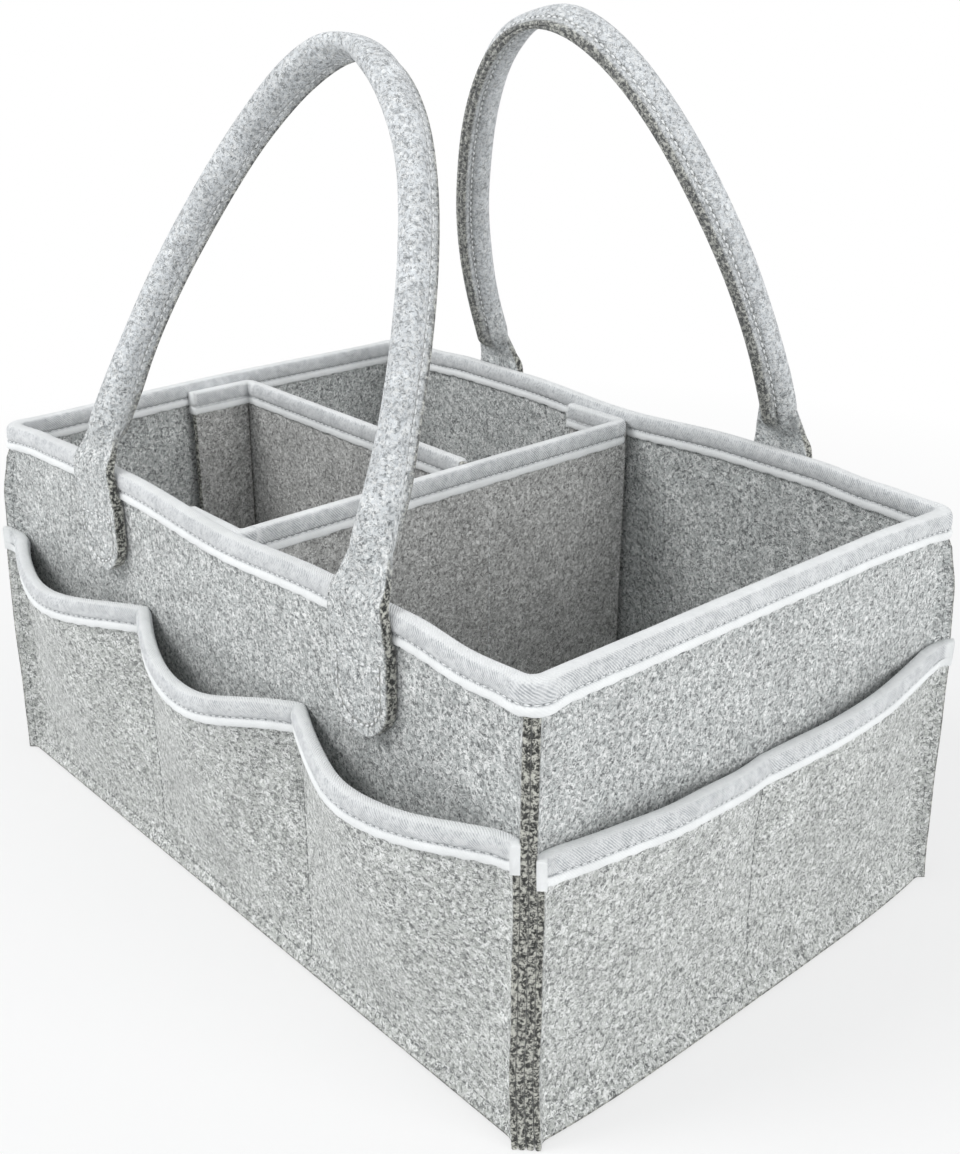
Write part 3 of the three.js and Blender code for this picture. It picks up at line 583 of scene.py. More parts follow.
WALL = felt_material("wall felt", "c3c7c6")
POCKET = felt_material("pocket felt", "c7cac6")
# Above the rim the handle felt is painted paler: painted light from above on its tube.
HANDLE = felt_material("handle felt", "c6caca", "4c5052", painted_light_above_rim="dbdfe2")
# The divider and the base lining are the wall felt painted darker and warmer: painted shade inside the
# basket.
SHADED_INSIDE_FELT = felt_material("divider felt in painted shade", "b9b9b7", "5a5957", "efefed")
TAPED = tape_material("edge tape", "eceeef", "90959a", "f6f8f8")
THREAD = grainy_material("sewing thread", "fbfcfc", "e2e5e6", 2400.0, 0.6, 0.1)
SHADE_THREAD = grainy_material("grey sewing thread", "8b8e8e", "6d7070", 2400.0, 0.7, 0.1)
BOARD = grainy_material("fibre board", "8f8779", "a89f8e", 900.0, 0.85)
HOOKS = grainy_material("hook strip", "b5b7b9", "9b9ea1", 1800.0, 0.55, 0.0, 0.5)
LOOPS = grainy_material("loop pile", "bcbec0", "a2a5a8", 1500.0, 0.95, 0.4, 0.7)
print("materials:", len(bpy.data.materials))

# %% [markdown]
# ## The four walls
# Each wall is a flat panel whose two ends are folded outwards at the corners. There they are sewn
# to the next wall, so two raw edges stand out from each corner as a fin, which gets shorter towards
# the rim and goes under the tape there. A wall is made as one grid: its columns follow the plan from
# one fin edge round the fold, along the wall, and out again. The pockets use the same function.

# %% The folded ends


def fin_reach(z):
    """How far a fin stands out from its corner at a height."""
    return FIN_LENGTH - FIN_TAPER * (z / WALL_TOP) ** 2 - FIN_TOP_TAPER * ease((z - 146) / 26)


def fold_path(half, across, v0, z, inner_u, fold_round=3.0):
    """One end of a panel in plan, from its fin's edge to where it runs flat."""
    reach = fin_reach(z)
    tip = np.stack([half + (reach - across) / math.sqrt(2), (reach + across) / math.sqrt(2)], -1)
    bend = np.stack([tip[..., 0] - (tip[..., 1] - v0), v0], -1)
    diagonal = np.array([1, 1]) / math.sqrt(2)
    under_tape = ease((z - FIN_TOP + 1.0) / 2.5)[..., None]
    tip = tip * (1 - under_tape) + (bend + 0.9 * diagonal) * under_tape
    length = np.linalg.norm(tip - bend, axis=-1)
    rounding = np.minimum(fold_round, 0.6 * length)[..., None]
    start = bend + rounding * diagonal
    end = bend - np.stack([np.minimum(fold_round, bend[..., 0] - inner_u), 0 * v0], -1)
    fin = [tip + (start - tip) * s for s in (0, 0.004, 0.02, 0.06, 0.16, 0.4, 0.7)]
    turn = [start * (1 - t) ** 2 + 2 * bend * t * (1 - t) + end * t * t
            for t in (0, 0.2, 0.4, 0.6, 0.8, 1)]
    return np.stack(fin + turn, axis=-2)


# %% [markdown]
# One function makes both walls and pockets. It builds the grid in the side's own frame, and measures
# how deep in the felt each point lies, from the nearest cut edge.

# %% A side panel's grid


def path_depth(path):
    """Distance from the first point of each row's path."""
    steps = np.linalg.norm(np.diff(path, axis=-2), axis=-1)
    return np.concatenate([np.zeros(steps.shape[:-1] + (1,)), np.cumsum(steps, -1)], -1)


def panel(side, across, v_of, inner_u, z_rows, z_top, step, extra=()):
    """A side panel's middle grid with fins at both ends, its depth to an edge and its map.

    across is the grid's distance from the fin's middle, v_of says how far it stands out from the
    wall, z_top how high it reaches, and extra holds more places for columns.
    """
    half = side["half"]
    low = z_rows[:, None] * z_top(np.array([half - 8.0]))[None, :] / z_rows[-1]
    v_end = v_of(np.array([inner_u]), low)
    ends = fold_path(half, across, v_end[:, 0], low[:, 0], inner_u)
    columns = inner_u * np.arange(-1, 1.0001, 2 / int(round(2 * inner_u / step)))
    columns = np.unique(np.concatenate([columns, [c for c in extra if abs(c) < inner_u - 0.5]]))
    columns = columns[np.concatenate([[True], np.diff(columns) > 0.15])]
    u = columns[None, :] * np.ones((len(z_rows), 1))
    z = z_rows[:, None] * z_top(u[0])[None, :] / z_rows[-1]
    v = v_of(u, z)
    u = u * (1 + flare(z) / inner_u)
    end_u, end_v = ends[..., 0], ends[..., 1]
    all_u = np.concatenate([-end_u, u[:, 1:-1], end_u[:, ::-1]], 1)
    all_v = np.concatenate([end_v, v[:, 1:-1], end_v[:, ::-1]], 1)
    wide = np.broadcast_to(low, end_u.shape)
    all_z = np.concatenate([wide, z[:, 1:-1], wide], 1)
    plan = np.stack([all_u, all_v], -1)
    from_left = path_depth(plan)
    from_right = path_depth(plan[:, ::-1])[:, ::-1]
    top = all_z[-1][None, :]
    depth = np.minimum.reduce([from_left, from_right, all_z, top - all_z])
    uv = np.stack([from_left - from_left.mean(1, keepdims=True), all_z], -1)
    return all_u, all_v, all_z, depth, uv, np.minimum(from_left, from_right)


def fin_press(fin, felt, pressed):
    """How much thinner a panel is at a distance from the edge of its fin."""
    return (pressed - felt) * ease((9 - fin) / 5)


def on_floor(patches):
    """Nothing of the sewn lower edge reaches below the floor."""
    for grid, _, _ in patches:
        grid[..., 2] = np.maximum(grid[..., 2], 0.0)
    return patches


# %% Sew the four walls
for side in SIDES.values():
    u, v, z, depth, uv, fin = panel(
        side, WALL_FIN / 2, lambda u, z: -WALL_FELT / 2 + flare(z) + 0 * u, side["half"] - 9.0,
        run(0.0, WALL_TOP, 5.0), lambda u: WALL_TOP + 0 * u, 4.5)
    middle = settle(to_world(side, u, v, z))
    patches = on_floor(slab(middle, depth, WALL_FELT + fin_press(fin, WALL_FELT, WALL_FIN), uv))
    dress(make_piece(side["wall"], patches, WALL), "caddy", "wall_felt", side["wall"])

# %% [markdown]
# ## The pockets
# A pocket panel is longer than the wall it covers. It is sewn down between the bays, so each bay
# stands out in a soft arch that is widest near its mouth and dies away towards the base. The felt
# also thins where the thread pulls it against the wall.

# %% The shape of a pocket
POCKET_ON_FIN = 3.95  # from the fin's middle over the wall's felt to the pocket's
BAY_FOOT = 6.0  # height from which the bays stand out
MOUTH_FLARE, MOUTH_FLARE_HEIGHT = 1.4, 34.0
BASE_STITCH_HEIGHT = 5.5
PINCH = 0.34  # share of the felt's thickness that a row of stitches pulls in


def pocket_bend(side):
    """Where along the side the pocket's felt folds out into the fin."""
    return side["half"] - math.sqrt(2) * POCKET_ON_FIN + LAYER_GAP - POCKET_FELT


def bay_value(side, values, u):
    """Each bay's own value at places along the side."""
    bays, bend = len(side["bulges"]), pocket_bend(side)
    u = np.clip(u, -bend, bend)
    return np.array(values)[np.clip((bays * (u + bend) / (2 * bend)).astype(int), 0, bays - 1)]


def bay_arc(side, u):
    """An arch over each bay, from 0 at its seams to 1 in its middle."""
    bays, bend = len(side["bulges"]), pocket_bend(side)
    return np.abs(np.sin(math.pi * bays * (u + bend) / (2 * bend)))


def bay_seams(side):
    bays, bend = len(side["bulges"]), pocket_bend(side)
    return [-bend + 2 * bend * k / bays for k in range(1, bays)]


def pocket_top(side, u):
    u = np.clip(u, -pocket_bend(side), pocket_bend(side))
    dips = bay_value(side, side["dips"], u) * bay_arc(side, u) ** 2
    return side["height"] - TAPE_OVER - dips - side["sag"] * (1 - np.abs(u) / pocket_bend(side))


def pocket_stand(side, u, z):
    """How far the pocket's inner face stands out from the wall."""
    top, arc = pocket_top(side, u), bay_arc(side, u)
    climb = np.clip((z - BAY_FOOT) / (top - BAY_FOOT), 0, 1)
    out = bay_value(side, side["bulges"], u) * arc ** (1.35 - 0.4 * climb)
    out = out * np.sin(math.pi / 2 * climb) ** 1.2
    soft = 0.6 * (wander(u * 1.3, z, 3.0 + side["turn"]) + 0.2) * arc * np.clip(z / 20, 0, 1)
    mouth = MOUTH_FLARE * ease((z - top + MOUTH_FLARE_HEIGHT) / 22)
    return LAYER_GAP + out + soft + mouth + flare(z)


# %% [markdown]
# The rows and columns of the grid are closer together where the stitches pull the felt in, so that
# the pinch keeps its shape.

# %% Sew the pockets
pocket_edges = {}
for side_name, side in SIDES.items():
    bend, cut_height = pocket_bend(side), side["height"] - TAPE_OVER
    rows = np.unique(np.concatenate([run(0.0, cut_height, 4.2), [3.9, 4.6, 5.2, 5.8, 6.4, 7.1]]))
    near_seams = [s + d for s in bay_seams(side) for d in (-1.9, -1.1, -0.5, 0, 0.5, 1.1, 1.9)]
    u, v, z, depth, uv, fin = panel(
        side, WALL_FIN + POCKET_FIN / 2, lambda u, z: pocket_stand(side, u, z) + POCKET_FELT / 2, bend - 1.0,
        rows, lambda u: pocket_top(side, u), 2.6, near_seams)
    middle = settle(to_world(side, u, v, z))
    straight_u = u / (1 + flare(z) / bend)
    pinch = sum(PINCH * np.exp(-((straight_u - s) / 1.1) ** 2) for s in bay_seams(side))
    pinch = pinch + PINCH * np.exp(-((z - BASE_STITCH_HEIGHT) / 0.9) ** 2)
    thick = POCKET_FELT * (1 - np.clip(pinch, 0, 0.45)) + fin_press(fin, POCKET_FELT, POCKET_FIN)
    pocket_edges[side_name] = np.stack([u[-1], v[-1], z[-1]], -1)
    name = side_name + "_pocket"
    piece = make_piece(name, on_floor(slab(middle, depth, thick, uv)), POCKET)
    dress(piece, "caddy", "pocket_felt", name)

# %% [markdown]
# ## Folded tapes
# Each free edge is bound with tape that is folded over it and sewn through. The fold stands up as a
# plump roll, the stitch line makes a groove, and the tape's own edge lies below it as a small lip.
# The tape is a thin closed sheet: an outer and an inner line are swept along the edge and joined.

# %% The tape's section and sweep
# one side of the tape from its cut edge up to the fold: distance from the felt, height on it
TAPE_SIDE = [(0.5, -10.9), (1.2, -10.8), (1.65, -10.2), (1.85, -9.2), (1.75, -8.1), (1.3, -7.2), (0.85, -6.6),
             (1.25, -6.0), (1.85, -5.1), (2.15, -3.9), (2.2, -2.5), (2.0, -1.1), (1.5, 0.1), (0.7, 0.95)]
GROOVE = 6.6  # how far below the cut edge the stitches run
LIP_FROM = 6.7  # and how far below it the tape's own lip begins


def tape_section(felt, side=TAPE_SIDE):
    """Outer and inner lines of a folded tape round felt of this thickness."""
    half = felt / 2
    outer = [(half + a, h) for a, h in side] + [(0.0, TAPE_OVER)] + [(-half - a, h) for a, h in side[::-1]]
    inner = [(math.copysign(half + 0.15, s) if abs(s) > half else s * 0.9, min(h, 0.2)) for s, h in outer]
    inner[len(side)] = (0.0, 0.25)
    return np.array(outer), np.array(inner)


def rounder(line):
    """One more point between each two, on a smooth curve through all of them."""
    padded = np.concatenate([2 * line[:1] - line[1:2], line, 2 * line[-1:] - line[-2:-1]])
    made = []
    for k in range(len(line) - 1):
        a, b, c, d = padded[k:k + 4]
        for t in (0.0, 0.5):
            made.append(0.5 * (2 * b + (c - a) * t + (2 * a - 5 * b + 4 * c - d) * t * t
                               + (3 * b - a - 3 * c + d) * t ** 3))
    return np.array(made + [line[-1]])


# %% [markdown]
# The sweep sets the section at each step along an edge. The tape's own edge frays a little, its roll
# is not quite even, and both skins are joined along their edges and, on an open tape, at its ends.

# %% Sweep a tape along an edge


def sweep_sheet(centre, out, section, closed=False, press=0.0, flat_ends=0.0, felt=0.0):
    """Sweeps a folded tape along an edge, upright.

    out holds the unit vectors that point outwards, press is how far the outer side is pushed out,
    and a flat end is pressed together on felt of a thickness.
    """
    outer, inner = (rounder(line) for line in section)
    place = path_depth(np.concatenate([centre, centre[:1]]) if closed else centre)[:len(centre)]
    from_end = np.minimum(place, place[-1] - place)[:, None]
    around = path_depth(outer)
    fray = (np.sin(place * 2.1) + np.sin(place * 3.7 + 1.3) + np.sin(place * 5.3 + 2.1))[:, None]
    roll = wander(place * 1.4, place * 0.6, 4.0)[:, None]

    def skin(line, outside):
        s = line[None, :, 0] * np.ones((len(centre), 1))
        h = line[None, :, 1] * np.ones((len(centre), 1))
        if outside:
            h = h + 0.16 * fray * np.clip((-h - 9.2) / 1.2, 0, 1)
            s = s + np.sign(s) * (0.05 * fray * (h < -7) + 0.14 * roll * (h > -6))
        s = s + (s > 0) * press * (0.5 + 0.5 * ease((-h - 3) / 5))
        if flat_ends:
            proud = np.abs(s) - felt / 2
            level = np.where(s > 0, 0.8, 0.25) if outside else 0.1
            pressed = (1 - ease((from_end - flat_ends) / 5)) * (proud > 0)
            s = s - np.sign(s) * pressed * (proud - level)
        return centre[:, None] + out[:, None] * s[..., None] + np.stack([0 * h, 0 * h, h], -1)

    faces = [skin(outer, True), skin(inner, False)]
    uv = np.stack(np.broadcast_arrays(place[:, None], around[None, :]), -1)
    on_lip = np.broadcast_to(ease((-outer[:, 1] - LIP_FROM) / 0.9)[None, :], uv.shape[:2])
    if flat_ends:
        on_lip = np.maximum(on_lip, ease(flat_ends - from_end))
    if closed:
        faces = [np.concatenate([f, f[:1]]) for f in faces]
        last = uv[:1] + np.array([place[-1] + np.linalg.norm(centre[0] - centre[-1]), 0])
        uv = np.concatenate([uv, last])
        on_lip = np.concatenate([on_lip, on_lip[:1]])
    patches = [(faces[0], uv, on_lip), (faces[1], uv, on_lip)]
    for k in (0, -1):
        patches.append((np.stack([f[:, k] for f in faces], 1), np.stack([uv[:, k]] * 2, 1), 1.0))
    if closed:
        return patches
    fold = len(outer) // 2
    for k, step in ((0, 1), (-1, -1)):
        beyond = centre[k] - centre[k + step]
        cap = faces[0][k] + 0.7 * beyond / np.linalg.norm(beyond)
        plain = np.stack([uv[k][:, 0], np.full(len(outer), 29.0)], -1)
        patches.append((np.stack([faces[0][k], cap]), np.stack([uv[k], plain]), 1.0))
        for line in (cap, faces[1][k]):
            flat = np.stack([line[:fold + 1], line[:fold - 1:-1]], 1)
            patches.append((flat, np.stack([plain[:fold + 1]] * 2, 1), 1.0))
        patches.append((np.array([[cap[0], cap[-1]], [faces[1][k][0], faces[1][k][-1]]]), 0.0, 1.0))
        for j in (0, -1):
            triangle = np.array([[cap[j], faces[0][k][j]], [faces[1][k][j], faces[1][k][j]]])
            patches.append((triangle, 0.0, 1.0))
    return patches


def respace(line, step):
    """The same line with points at equal distances."""
    place = path_depth(line)
    at = np.linspace(0, place[-1], max(4, int(round(place[-1] / step)) + 1))
    return np.stack([np.interp(at, place, line[:, k]) for k in range(line.shape[1])], 1)


def at_level(plan, z):
    """Points in plan, put at one height."""
    return np.concatenate([plan, np.full((len(plan), 1), z)], 1)


# %% [markdown]
# The rim's tape is one closed loop. At each corner it goes over the end of the fin, so its outer
# side is pushed out there.

# %% Tape the rim


def rim_loop(offset, step=2.2):
    """A rounded rectangle round the wall's outer face, moved in or out by an offset."""
    centre_x, centre_y = HALF_LENGTH - RIM_CORNER_RADIUS, HALF_WIDTH - RIM_CORNER_RADIUS
    corners, directions = [], []
    for k, (cx, cy) in enumerate([(centre_x, -centre_y), (centre_x, centre_y), (-centre_x, centre_y),
                                  (-centre_x, -centre_y)]):
        for a in np.linspace(-90 + 90 * k, 90 * k, 9):
            direction = np.array([math.cos(math.radians(a)), math.sin(math.radians(a))])
            corners.append(np.array([cx, cy]) + (RIM_CORNER_RADIUS + offset) * direction)
            directions.append(direction)
    made, made_out = [], []
    for k in range(len(corners)):
        a, b = corners[k], corners[(k + 1) % len(corners)]
        out_a, out_b = directions[k], directions[(k + 1) % len(corners)]
        pieces = max(1, int(round(np.linalg.norm(b - a) / step)))
        for j in range(pieces):
            made.append(a + (b - a) * j / pieces)
            made_out.append(out_a + (out_b - out_a) * j / pieces)
    made_out = np.array(made_out)
    return np.array(made), made_out / np.linalg.norm(made_out, axis=1, keepdims=True)


loop, loop_out = rim_loop(-WALL_FELT / 2)
rim_centre, rim_out = at_level(loop, WALL_TOP), at_level(loop_out, 0.0)
from_corner = np.hypot(np.abs(loop[:, 0]) - HALF_LENGTH, np.abs(loop[:, 1]) - HALF_WIDTH)
over_fin = 3.4 * np.exp(-(from_corner / 9.5) ** 2)[:, None]
patches = sweep_sheet(rim_centre, rim_out, tape_section(WALL_FELT), closed=True, press=over_fin)
piece = make_piece("rim_binding", [(settle(p), uv, mark) for p, uv, mark in patches], TAPED)
dress(piece, "caddy", "binding_tape", "rim_binding")

# %% [markdown]
# A pocket's tape follows the upper edge of its felt. Its two ends lie on the fins. They are pressed
# together there, as a seam presses them, and rise a little.

# %% Tape the pockets
END_RISE, END_RISE_LENGTH = 2.6, 9.0
pocket_tape_lines = {}
for side_name, side in SIDES.items():
    line = respace(pocket_edges[side_name], 2.1)
    centre = to_world(side, line[:, 0], line[:, 1], line[:, 2])
    flat = np.gradient(line[:, :2], axis=0)
    turned = to_world(side, -flat[:, 1], flat[:, 0], 0 * flat[:, 0]) - to_world(side, 0, 0, 0)
    out = turned / np.linalg.norm(turned, axis=1, keepdims=True)
    place = path_depth(line[:, :2])
    centre[:, 2] += END_RISE * ease(1 - np.minimum(place, place[-1] - place) / END_RISE_LENGTH)
    pocket_tape_lines[side_name] = (centre, out)
    patches = sweep_sheet(centre, out, tape_section(POCKET_FELT), flat_ends=4.2, felt=POCKET_FELT)
    name = side_name + "_pocket_binding"
    piece = make_piece(name, [(settle(p), uv, mark) for p, uv, mark in patches], TAPED)
    dress(piece, "caddy", "binding_tape", name)

# %% [markdown]
# ## The base
# The base panel is a shallow tray turned upside down: its edge turns down and is sewn to the walls'
# lower edges. On it lie a stiff fibre board and a felt lining. Each is one grid of rings that shrink
# to a line along the middle, so the panel has no open centre. All three spread with the walls.

# %% Make the base, its board and its lining


def ring_panel(half_x, half_y, radius, inset, z, step=9.0):
    """Points on rounded rectangles with the same count, each inset and raised by its own values."""
    quarters = [np.radians(np.linspace(-90 + 90 * k, 90 * k, 7)) for k in range(4)]
    arcs = [np.stack([np.cos(a), np.sin(a)], 1) for a in quarters]
    rings = []
    for depth in inset:
        hx, hy = half_x - depth, half_y - depth
        r = max(0.0, min(radius, radius - 0.5 * depth, hx, hy))
        corners = [(hx - r, -(hy - r)), (hx - r, hy - r), (-(hx - r), hy - r), (-(hx - r), -(hy - r))]
        ring = []
        for k in range(4):
            arc = np.array(corners[k]) + r * arcs[k]
            following = np.array(corners[(k + 1) % 4]) + r * arcs[(k + 1) % 4][0]
            pieces = int((2 * half_y if k % 2 == 0 else 2 * half_x) / step)
            straight = [arc[-1] + (following - arc[-1]) * j / pieces for j in range(1, pieces)]
            ring += list(arc) + straight
        ring.append(ring[0])
        rings.append(at_level(np.array(ring), 0.0))
    rings = np.array(rings)
    rings[..., 2] = np.asarray(z)[:, None]
    rings[-1, :, 1] = 0.0
    return rings


def lie(name, middle, run_in, felt, look, slot_name):
    """Makes a panel of the base; run_in is how far each ring lies from the cut edge."""
    depth = np.broadcast_to(run_in[:, None], middle.shape[:2])
    patches = on_floor(slab(settle(middle), depth, felt, middle[..., :2], looped=True))
    if name == "base_lining":
        for grid, _, _ in patches:
            grid[..., 2] += 0.12 * wander(grid[..., 0] * 0.7, grid[..., 1] * 0.7, 5.0)
    return dress(make_piece(name, patches, look), "caddy", slot_name, name)


# the tray's felt runs up from the floor, round a bend and inwards
TRAY_UP, TRAY_BEND, TRAY_BEND_END = 4.2, 3.5, 9.2
tray_run = np.array([0, 0.03, 0.11, 0.32, 0.9, 2.0, 3.4, 4.6, 5.8, 6.9, 8.0, 9.5, 12, 20, 34, 50, 66, 82, 98,
                     112, 121.2])
turn = np.clip((tray_run - TRAY_UP) / (TRAY_BEND_END - TRAY_UP), 0, 1) * math.pi / 2
tray_z = np.where(tray_run < TRAY_UP, tray_run, TRAY_UP + TRAY_BEND * np.sin(turn))
tray_inset = np.where(tray_run < TRAY_UP, 0.0, np.where(
    tray_run < TRAY_BEND_END, TRAY_BEND * (1 - np.cos(turn)), tray_run - TRAY_BEND_END + TRAY_BEND))
lie("base_panel", ring_panel(185.9, 121.9, 5.0, tray_inset, tray_z), tray_run, 3.4, WALL, "wall_felt")
for name, half_x, half_y, level, felt, look, slot_name in [
    ("base_board", 182.0, 118.0, 11.05, 2.4, BOARD, "base_board"),
    ("base_lining", 183.2, 119.2, 13.85, LINING_FELT, SHADED_INSIDE_FELT, "divider_felt"),
]:
    inset = np.concatenate([CUT_STEPS, np.linspace(CUT_STEPS[-1] + 2.5, half_y, 16)])
    middle = ring_panel(half_x, half_y, 6.0, inset, np.full(len(inset), level))
    piece = lie(name, middle, inset, felt, look, slot_name)

# %% [markdown]
# ## The lift-out divider
# The divider is a T: one felt panel across the basket and one along it, sewn together at a seam.
# Their ends are folded into short flaps that grip the walls. Every panel has a taped upper edge.
# The panels are stiff, so they only bow by a fraction of a millimetre.

# %% Divider panels and flaps


def upright(start, end, low, high, thickness, seed, bow, step=5.0):
    """A standing panel between two points in plan, with four cut edges, that bows a little."""
    start, end = np.array(start, float), np.array(end, float)
    length = np.linalg.norm(end - start)
    along, sideways = (end - start) / length, np.array([-(end - start)[1], (end - start)[0]]) / length
    a, z = run(0, length, step), run(low, high, step)
    A, Z = np.meshgrid(a, z)
    shift = bow * wander(A, Z, seed) * np.clip(np.minimum(A, length - A) / 25, 0, 1)
    shift = shift * np.clip((Z - low) / 30, 0, 1) * np.clip((high - Z) / 20, 0, 1)
    middle = start + A[..., None] * along + shift[..., None] * sideways
    middle = np.concatenate([middle, Z[..., None]], -1)
    depth = np.minimum.reduce([A, length - A, Z - low, high - Z])
    return slab(middle, depth, thickness, np.stack([A, Z], -1))


CROSS_X, LONG_Y = 6.05, 13.05  # the middles of the two panels
SIDE_FLAP_Y, END_FLAP_X = 114.45, -178.45  # the middles of the flaps
SIDE_FLAP_TIP, END_FLAP_TIP = -30.0, -23.0
FOOT, TOP_EDGE, TAB_TOP = 15.4, 179.1, 159.1
PANELS = [
    ("cross_divider", (CROSS_X, -116.2), (CROSS_X, 116.2), "insert", 0.5),
    ("long_divider", (-180.2, LONG_Y), (2.5, LONG_Y), "long_divider", 0.4),
    ("divider_seam_tab", (2.2, 15.1), (2.2, 29.0), "insert", 0.0),
    ("front_flap", (4.0, -SIDE_FLAP_Y), (SIDE_FLAP_TIP, -SIDE_FLAP_Y), "front_flap", 0.0),
    ("back_flap", (4.0, SIDE_FLAP_Y), (SIDE_FLAP_TIP, SIDE_FLAP_Y), "back_flap", 0.0),
    ("left_flap", (END_FLAP_X, 10.9), (END_FLAP_X, END_FLAP_TIP), "left_flap", 0.0),
]
for seed, (name, start, end, body, bow) in enumerate(PANELS, 1):
    high, felt = (TAB_TOP, 3.4) if name == "divider_seam_tab" else (TOP_EDGE, DIVIDER_FELT)
    piece = make_piece(name, upright(start, end, FOOT, high, felt, seed, bow), SHADED_INSIDE_FELT)
    dress(piece, body, "divider_felt", name)

# %% [markdown]
# Each flap carries a strip of small hooks that faces a strip of loops on its wall. Both are plain
# thin strips with a fine grain.

# %% Hook strips and loop strips
STRIP, STRIP_FOOT, STRIP_TOP = 1.1, 42.0, 142.0
for kind, side_y, end_x, near_x, look in [("hook", 117.05, -181.05, -2.1, HOOKS),
                                          ("loop", 118.55, -182.55, -2.0, LOOPS)]:
    for place, start, end in [("front", (-24.0, -side_y), (near_x, -side_y)),
                              ("back", (-24.0, side_y), (near_x, side_y)),
                              ("left", (end_x, -17.0), (end_x, 4.9))]:
        name = f"{place}_{kind}_strip"
        piece = make_piece(name, upright(start, end, STRIP_FOOT, STRIP_TOP, STRIP, 1, 0.0), look)
        dress(piece, place + "_flap" if kind == "hook" else "caddy", "grip_strip", name)

# %% [markdown]
# At a fold the tape isn't cut. It bends round with the felt, from the divider onto the flap, in one
# piece. So each flap's tape starts where the divider's own tape ends.

# %% Divider tapes
FOLD_RADIUS = 3.5
CROSS_TAPE_END, LONG_TAPE_END = 107.7, -171.7
BEND_HALF = 1.9  # mm on each side of the hinge, along and across


def divider_tape(name, *corners):
    """A tape along the upper edge of the divider, bent round where its felt folds."""
    corners = [np.array(corner, float) for corner in corners]
    plan = [corners[0]]
    for before, corner, after in zip(corners, corners[1:], corners[2:]):
        coming = (corner - before) / math.dist(corner, before)
        going = (after - corner) / math.dist(after, corner)
        for a in np.linspace(0, math.pi / 2, 9):
            plan.append(corner - FOLD_RADIUS * (coming * (1 - math.sin(a)) - going * (1 - math.cos(a))))
    plan = respace(np.array(plan + [corners[-1]]), 1.2 if len(corners) > 2 else 2.5)
    along = np.gradient(plan, axis=0)
    along /= np.linalg.norm(along, axis=1, keepdims=True)
    out = np.stack([along[:, 1], -along[:, 0], np.zeros(len(plan))], 1)
    section = tape_section(DIVIDER_FELT, [(a * 0.72, h) for a, h in TAPE_SIDE])
    return make_piece(name, sweep_sheet(at_level(plan, TOP_EDGE), out, section), TAPED)


CROSS_TAPE = ((CROSS_X, -CROSS_TAPE_END), (CROSS_X, CROSS_TAPE_END))
LONG_TAPE = ((LONG_TAPE_END, LONG_Y), (-2.5, LONG_Y))
for name, body, ends in [("cross_divider_binding", "insert", CROSS_TAPE),
                         ("long_divider_binding", "long_divider", LONG_TAPE)]:
    dress(divider_tape(name, *ends), body, "binding_tape", name)
# flap, the divider it folds from, its hinge in plan, which way it turns, and the tape's corners
FLAP_TAPES = [
    ("front_flap", "insert", (4.25, -112.7), -1,
     [(CROSS_X, -CROSS_TAPE_END), (CROSS_X, -SIDE_FLAP_Y), (SIDE_FLAP_TIP, -SIDE_FLAP_Y)]),
    ("back_flap", "insert", (4.25, 112.7), 1,
     [(CROSS_X, CROSS_TAPE_END), (CROSS_X, SIDE_FLAP_Y), (SIDE_FLAP_TIP, SIDE_FLAP_Y)]),
    ("left_flap", "long_divider", (-176.7, 11.25), -1,
     [(LONG_TAPE_END, LONG_Y), (END_FLAP_X, LONG_Y), (END_FLAP_X, END_FLAP_TIP)]),
]
for flap, panel_body, (hinge_x, hinge_y), way, corners in FLAP_TAPES:
    piece = divider_tape(flap + "_binding", *corners)
    ends = Vector((hinge_x - BEND_HALF, hinge_y + way * BEND_HALF, TOP_EDGE)) * MM
    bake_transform(piece)
    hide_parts(flap + "_binding")

# %% [markdown]
# ## The handles
# A handle is one long strip of felt. Its two ends lie flat against the wall as tabs. Above the rim
# the strip is folded round a cord and sewn along its two raw edges, which stand as a small ridge on
# the side that faces the basket. Here the whole handle is one loft: its section changes from a flat
# tab to a round tube with a ridge. The arch is half an ellipse, and a table moves it by a few
# millimetres at each angle, as the soft handle hangs. The tube is pressed flat where it bends most,
# and the front handle's seam is turned a little towards the right end.

# %% The strip and its section
TAB_WIDTH, TAB_ROUND = 34.0, 17.0  # a tab, and the radius of its lower end
TUBE_RADIUS = 7.25
RIDGE_HALF, RIDGE_PROUD, RIDGE_SEAM = 3.2, 3.0, 3.8  # half its width, its height, and its stitches
RIDGE_WIDTH, EDGE_FELT = 13.5, 1.4  # the strip under the ridge: its width and half its thickness
# places across the outer and the inner side, close together where the section turns sharply
FLANK = np.array([0.6, 0.72, 0.82, 0.89, 0.94, 0.97, 0.985, 0.995])
OUTWARD = np.concatenate([-FLANK[:2:-1], np.linspace(-0.85, 0.85, 49), FLANK[3:]])
RIDGE_AT = np.array([0.07, 0.2, 0.34, 0.39, 0.42, 0.435, 0.46, 0.51, 0.59])
INWARD = np.concatenate([FLANK[::-1], RIDGE_AT[::-1], [0], -RIDGE_AT, -FLANK])


def tab_width(h):
    """The strip's width at a height above the hinge."""
    return float(np.interp(h, [-14.0, -8, 0.0, 9.0, 18.0, 26.0, 32.0],
                           [TAB_WIDTH, 33.2, 30.5, 26.5, 21.5, 17.0, RIDGE_WIDTH]))


def tab_half(h):
    """Half the strip's thickness at a height."""
    return float(through([-17.0, -11.0, 1.0, 8.0, 27.0], [2.85, 2.5, 2.4, 1.7, EDGE_FELT], h))


def tab_centre(h):
    """How far inwards from the hinge line the strip's middle lies at a height."""
    return float(through([-17.0, -11.0, 4.0], [3.7, 2.5, 2.6], h))


